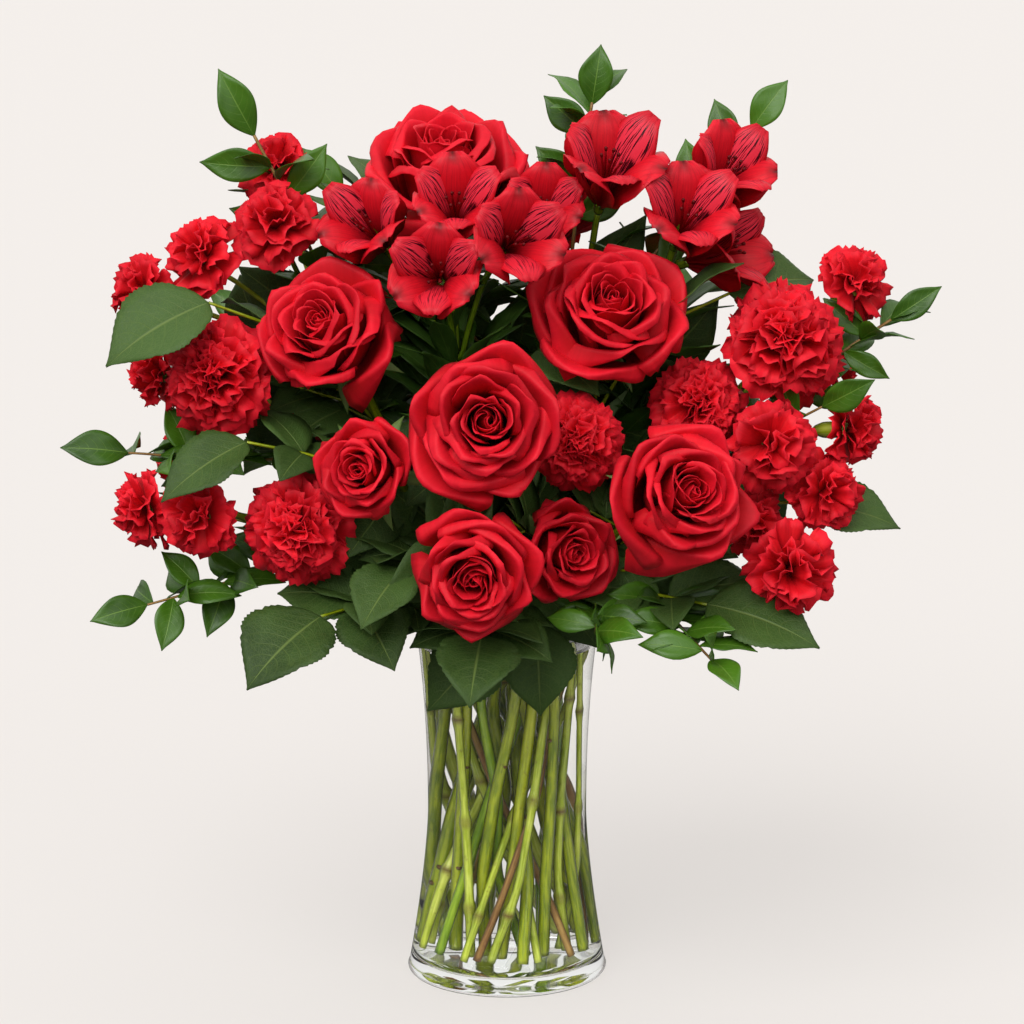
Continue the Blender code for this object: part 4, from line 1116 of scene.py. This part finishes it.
broad_greens = (0.021, 0.047, 0.008), (0.054, 0.110, 0.020), (0.13, 0.19, 0.045)
broad_green = leaf_finish("rose_leaf", *broad_greens, 9, 0.22, 0.6, 0.5, 0.26, 0.0)
glossy_greens = (0.016, 0.053, 0.003), (0.060, 0.165, 0.007), (0.14, 0.26, 0.035)
glossy_green = leaf_finish("branch_leaf", *glossy_greens, 8, 0.05, 0.25, 0.38, 0.35, 0.10)
rose_leaf_teeth = 22
for kind, finish, teeth, slot in (
    ("rose_stem", broad_green, rose_leaf_teeth, "rose_stem"),
    ("green_branch", glossy_green, 0, "green_branch"),
):
    for number, node in enumerate(numbered(kind)):
        dice = random.Random(150 + number)
        own = [leaf for name, leaf in all_leaves if name == node]
        if not own:
            continue
        piece = Piece(node + "_leaves")
        for base, tip, face, width in own:
            add_leaf(piece, leaf_grid, base, tip, face, width * 1.06, teeth, dice, slender=not teeth)
        piece.finish(finish, slot, (), thickness=0.0003)


# --- The sepals -----------------------------------------------------------------------------------------
# Five narrow green sepals bend back under each rose, and each carnation's cup ends in five short teeth
# that hold its petals.
def add_sepals(piece, base, axis, start, length, width, lean, dice):
    """Five sepals round a cup, from a ring of the start radius, leaning out from the axis by an angle."""
    level = axis.to_track_quat("Z", "Y").to_matrix()
    for index in range(5):
        turn = index * math.tau / 5 + dice.uniform(-0.2, 0.2)
        out = level @ Vector((math.cos(turn), math.sin(turn), 0))
        tilt = lean * dice.uniform(0.8, 1.15)
        way = axis * math.cos(tilt) + out * math.sin(tilt)
        face = axis * math.sin(tilt) - out * math.cos(tilt)
        root = base + out * start
        add_leaf(piece, small_grid, root, root + way * length, face, width, 0, dice, fold=0.1, curl=0.5)


sepal_green = leaf_finish(
    "sepal", (0.06, 0.11, 0.02), (0.16, 0.24, 0.06), (0.18, 0.26, 0.08), 3, 0.0, 0.2, 0.5, 0.3, 0.0
)
for number, node in enumerate(numbered("rose_bloom")):
    base, axis, _ = heads_of(node, True, rose_depth, rose_pole)[0]
    piece = Piece(node + "_sepals")
    add_sepals(piece, base, axis, 0.004, 0.030, 0.0075, math.radians(105), random.Random(600 + number))
    piece.finish(sepal_green, "rose_stem", (), thickness=0.0003)
for kind, depth, cup, teeth, slot in (
    ("carnation_bloom", carnation_depth, calyx_radius, 0.009, "carnation_stem"),
    ("mini_carnation_spray", spray_depth, small_calyx_radius, 0.006, "carnation_spray"),
):
    for number, node in enumerate(numbered(kind)):
        piece = Piece(node + "_cup_teeth")
        for base, axis, _ in heads_of(node, False, depth, domed_pole):
            dice = random.Random(number)
            add_sepals(piece, base, axis, cup * 0.93, teeth, teeth * 0.8, math.radians(24), dice)
        piece.finish(sepal_green, slot, (), thickness=0.0003)


# --- The leaves among the flowers ------------------------------------------------------------------------
# Under the flowers every stem still has its leaves: compound leaves on the roses, long blades on the
# alstroemerias, thin grey-green ones on the carnations, and small glossy ones along the branches.
lip_clearance = 0.006
bouquet_middle = Vector((0, 0.01, 0.27))
head_list = []
for kind, sunk, depth, pole in (
    ("rose_bloom", True, rose_depth, rose_pole),
    ("carnation_bloom", False, carnation_depth, domed_pole),
    ("mini_carnation_spray", False, spray_depth, domed_pole),
    ("alstroemeria_stem", True, lily_depth, lily_pole),
):
    for node in numbered(kind):
        for base, axis, radius in heads_of(node, sunk, depth, pole):
            head_list.append((base, axis, radius, radius * 2 * depth))


def is_free(points):
    """Whether none of the points is in a flower or in front of its face, or outside the bouquet."""
    for point in points:
        if any(point[k] < cad_low[k] or point[k] > cad_high[k] for k in range(3)):
            return False
        in_mouth = math.hypot(point.x, point.y) < lip_radius + lip_clearance
        if point.z < vase_height + lip_clearance and in_mouth:
            return False
        for base, axis, radius, depth in head_list:
            out = point - base
            along = out.dot(axis)
            if -0.2 * depth < along < depth + 0.03 and (out - axis * along).length < radius * 0.96:
                return False
    return True


def try_leaf(piece, base, way, face, length, width, dice, **shape):
    """A leaf, if there is room for it: it is shortened or left out where a flower is in the way."""
    for share in (1.0, 0.8, 0.62):
        tip = base + way * length * share
        side = way.cross(face).normalized() * width * share * 0.4
        middle = base.lerp(tip, 0.5)
        if is_free([tip, base.lerp(tip, 0.75), middle, middle + side, middle - side]):
            add_leaf(piece, small_grid, base, tip, face, width * share, 0, dice, **shape)
            return True
    return False


def leafless_part(path, low, high):
    """The points of a path between two heights above the lip, with the path's direction at each."""
    heading = np.gradient(path, axis=0)
    rows = [k for k in range(len(path)) if vase_height + low < path[k][2] < vase_height + high]
    return [(Vector(path[k]), Vector(heading[k]).normalized()) for k in rows]


def face_for(place, way):
    """The way a leaf's upper side looks: up, and away from the middle of the bouquet."""
    face = (place - bouquet_middle).normalized() + Vector((0, 0, 0.7))
    return (face - way * face.dot(way)).normalized()


def nearest_stem(point):
    """The rose stem whose path passes closest below a point: its node and the step along it."""
    reach = {}
    for node in numbered("rose_stem"):
        height = paths[node][:, 2]
        away = np.linalg.norm(paths[node] - np.array(point), axis=1) + np.maximum(height - point.z, 0) * 3
        away[height < vase_height + 0.008] = 9
        reach[node] = (away.min(), int(away.argmin()))
    node = min(reach, key=lambda name: reach[name][0])
    return node, reach[node][1]


def from_lip(place):
    """A point given in lip radii from the middle of the vase's lip."""
    return Vector(place) * lip_radius + Vector((0, 0, vase_height))


# Each leaf's base, tip and width. The first list fills gaps between heads, the second hangs over the lip.
gap_leaves = [
    ((1.59, 0.35, 2.76), (2.29, 0.16, 3.59), 0.034),
    ((1.75, 0.97, 2.66), (2.17, 0.97, 3.44), 0.032),
    ((1.86, 0.23, 2.31), (2.41, 0.00, 2.89), 0.028),
    ((-2.17, 0.39, 2.31), (-2.91, 0.23, 3.28), 0.038),
    ((-2.10, 0.47, 3.28), (-2.91, 0.39, 3.90), 0.032),
    ((-2.29, 0.19, 1.88), (-2.83, -0.08, 2.62), 0.032),
    ((0.89, 0.66, 3.48), (1.51, 0.50, 4.45), 0.030),
    ((0.85, 1.17, 3.53), (0.97, 1.13, 4.31), 0.030),
    ((1.40, 1.13, 3.34), (1.63, 1.09, 4.17), 0.030),
    ((-2.64, 0.58, 3.09), (-2.91, 0.50, 3.79), 0.034),
    ((-0.39, 0.58, 2.89), (-0.31, 0.39, 3.83), 0.032),
    ((0.12, 0.54, 2.78), (0.23, 0.35, 3.71), 0.032),
    ((-1.17, 0.39, 2.47), (-1.20, 0.19, 3.36), 0.032),
]
lip_leaves = [
    ((0.32, -1.20, 0.30), (0.36, -1.43, -0.64), 0.040),
    ((-0.08, -1.19, 0.21), (-0.85, -1.40, -0.60), 0.041),
]
over_lip = {node: np.abs(paths[node][:, 2] - vase_height - 0.012).argmin() for node in numbered("rose_stem")}
lip_node = min(over_lip, key=lambda node: paths[node][over_lip[node]][1])
lip_start = Vector(paths[lip_node][over_lip[lip_node]])
stalk_radii = np.array((0.0012, 0.0010, 0.0009, 0.0007))


def add_stalk(stalks, points, radii=stalk_radii):
    add_tube(stalks, [np.array(point) for point in points], radii, 0.2, np.zeros(4), sides=6)


for number, node in enumerate(numbered("rose_stem")):
    dice = random.Random(300 + number)
    piece = Piece(node + "_under_leaves")
    stalks = Piece(node + "_leaf_stalks")
    spots = leafless_part(paths[node], 0.012, 0.24)
    for step in range(2, len(spots), 3):
        place = spots[step][0]
        turn = step * golden_turn + number
        flat = Vector((math.cos(turn), math.sin(turn), 0)) + Vector((place.x, place.y, 0)) * 9
        way = (flat.normalized() + Vector((0, 0, dice.uniform(0.25, 0.8)))).normalized()
        stalk_length = dice.uniform(0.022, 0.052)
        elbow = place + way * stalk_length
        grown = 0
        for leaflet in range(5):
            base = elbow if leaflet == 0 else elbow - way * stalk_length * (0.22 if leaflet < 3 else 0.55)
            lean = (0, 62, -62, 70, -70)[leaflet]
            face = face_for(base, way)
            out = Matrix.Rotation(math.radians(lean + dice.uniform(-10, 10)), 3, face) @ way
            length = dice.uniform(0.042, 0.058) * (1 if leaflet == 0 else 0.86)
            grown += try_leaf(piece, base, out, face, length, length * 0.66, dice)
        if grown:
            points = [place.lerp(elbow, share) for share in (0, 0.35, 0.7, 1)]
            add_stalk(stalks, points, (0.0011, 0.0009, 0.0008, 0.0007))
    for stalk in [line for name, line in leaf_stalks if name == node]:
        for share in (0.30, 0.62):
            spot = int(share * (len(stalk) - 1))
            place = Vector(stalk[spot])
            way = Vector(stalk[max(spot - 1, 0)] - stalk[min(spot + 1, len(stalk) - 1)]).normalized()
            face = face_for(place, way)
            for lean in (64, -64):
                out = Matrix.Rotation(math.radians(lean + dice.uniform(-10, 10)), 3, face) @ way
                length = dice.uniform(0.036, 0.050)
                try_leaf(piece, place, out, face, length, length * 0.66, dice)
    for base, tip, width in gap_leaves:
        base, tip = from_lip(base), from_lip(tip)
        owner, step = nearest_stem(base)
        if owner != node:
            continue
        way, length = (tip - base).normalized(), (tip - base).length
        face = Vector((base.x, -0.16, 0.10))  # towards the front, and out a little
        face = (face - way * face.dot(way)).normalized()
        if try_leaf(piece, base, way, face, length, width, dice):
            start = Vector(paths[node][step])
            shares = (0, 0.33, 0.67, 1)
            rises = [Vector((0, 0, 0.01 * math.sin(math.pi * share))) for share in shares]
            add_stalk(stalks, [start.lerp(base, share) + rise for share, rise in zip(shares, rises)])
    if node == lip_node:
        for base, tip, width in lip_leaves:
            base, tip = from_lip(base), from_lip(tip)
            front = (base - tip).cross(Vector((1, 0, 0))) * -1
            add_leaf(piece, leaf_grid, base, tip, front, width, rose_leaf_teeth, dice)
            bent = lip_start.lerp(base, 0.45) + Vector((0, 0, 0.006))
            flat = base.lerp(lip_start, 0.12) + Vector((0, 0, 0.003))
            add_stalk(stalks, [lip_start, bent, flat, base])
    if piece.count:
        piece.finish(broad_green, "rose_stem", (), thickness=0.0003)
    if stalks.count:
        stalks.finish(rose_rind, "rose_stem")

blade_greens = (0.022, 0.062, 0.008), (0.075, 0.170, 0.022), (0.11, 0.22, 0.040)
blade_green = leaf_finish("blade_leaf", *blade_greens, 3, 0.05, 0.2, 0.42, 0.35, 0.05)
grey_greens = (0.040, 0.080, 0.028), (0.110, 0.175, 0.062), (0.12, 0.19, 0.07)
grey_green = leaf_finish("carnation_leaf", *grey_greens, 2, 0.0, 0.1, 0.5, 0.3, 0.0)
for kind, finish, slot, length, width, gap, low, rise in (
    ("alstroemeria_stem", blade_green, "alstroemeria", 0.080, 0.020, 1, 0.02, 1.2),
    ("carnation_stem", grey_green, "carnation_stem", 0.060, 0.0080, 6, 0.01, 1.0),
    ("mini_carnation_spray", grey_green, "carnation_spray", 0.050, 0.0070, 6, 0.01, 1.0),
    ("green_branch", glossy_green, "green_branch", 0.036, 0.017, 2, 0.012, 0.7),
):
    for number, node in enumerate(numbered(kind)):
        dice = random.Random(400 + number)
        piece = Piece(node + "_under_leaves")
        lines = [paths[node]] + [twig for name, twig in twigs if name == node]
        for line in lines:
            spots = leafless_part(line, low, 0.30)
            for step in range(1, len(spots), gap):
                place, heading = spots[step]
                turn = step * golden_turn + number * 1.3
                flat = Vector((math.cos(turn), math.sin(turn), 0))
                out = (flat + heading * rise * dice.uniform(0.6, 1.1)).normalized()
                size = dice.uniform(0.8, 1.1)
                face = face_for(place, out)
                try_leaf(piece, place, out, face, length * size, width * size, dice, curl=0.25, slender=True)
        if piece.count:
            piece.finish(finish, slot, (), thickness=0.0003)


# --- The room -----------------------------------------------------------------------------------------
# A pale seamless table, a soft sun from the upper left, and a sky that is bright above and behind and
# dim on the camera's side, so that the glass stays clear.
bpy.ops.mesh.primitive_plane_add(size=40, location=(0, 12, 0))
floor = bpy.context.object
floor.name = "floor"
bpy.ops.object.transform_apply(location=True)
warm_white = (1.0, 0.955, 0.92, 1)
paper, tree, shader = new_finish(
    "studio_paper",
    {
        "Base Color": (0.30, 0.286, 0.275, 1),
        "Roughness": 0.9,
        "Specular IOR Level": 0.1,
        "Emission Color": warm_white,
        "Emission Strength": 0.505,
    },
)
dim = add_node(tree, "ShaderNodeBsdfDiffuse", {"Color": (0.10, 0.10, 0.10, 1)}).outputs["BSDF"]
mirrored = add_node(tree, "ShaderNodeLightPath").outputs["Is Reflection Ray"]
seen = either_shader(tree, mirrored, shader.outputs["BSDF"], dim)
fill(tree, tree.nodes["Material Output"], {"Surface": seen})
floor.data.materials.append(paper)
floor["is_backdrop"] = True

world = bpy.data.worlds.new("studio")
scene.world = world
world.use_nodes = True
tree = world.node_tree
way = add_node(tree, "ShaderNodeTexCoord").outputs["Generated"]
split = add_node(tree, "ShaderNodeSeparateXYZ", {"Vector": way}).outputs
behind = worked(tree, "MULTIPLY_ADD", split["Y"], 0.34, 0.42)
above = worked(tree, "MULTIPLY_ADD", split["Z"], 0.42, behind)
fill(tree, tree.nodes["Background"], {"Color": (1.0, 0.99, 0.975, 1), "Strength": above})
for name, turns, energy, softness in (
    ("key_light", (38, -26, 0), 2.0, 45),
    ("fill_light", (58, 0, 12), 0.9, 60),
):
    bpy.ops.object.light_add(type="SUN", rotation=[math.radians(turn) for turn in turns])
    sun = bpy.context.object
    sun.name = name
    sun.data.energy = energy
    sun.data.angle = math.radians(softness)

low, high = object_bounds()
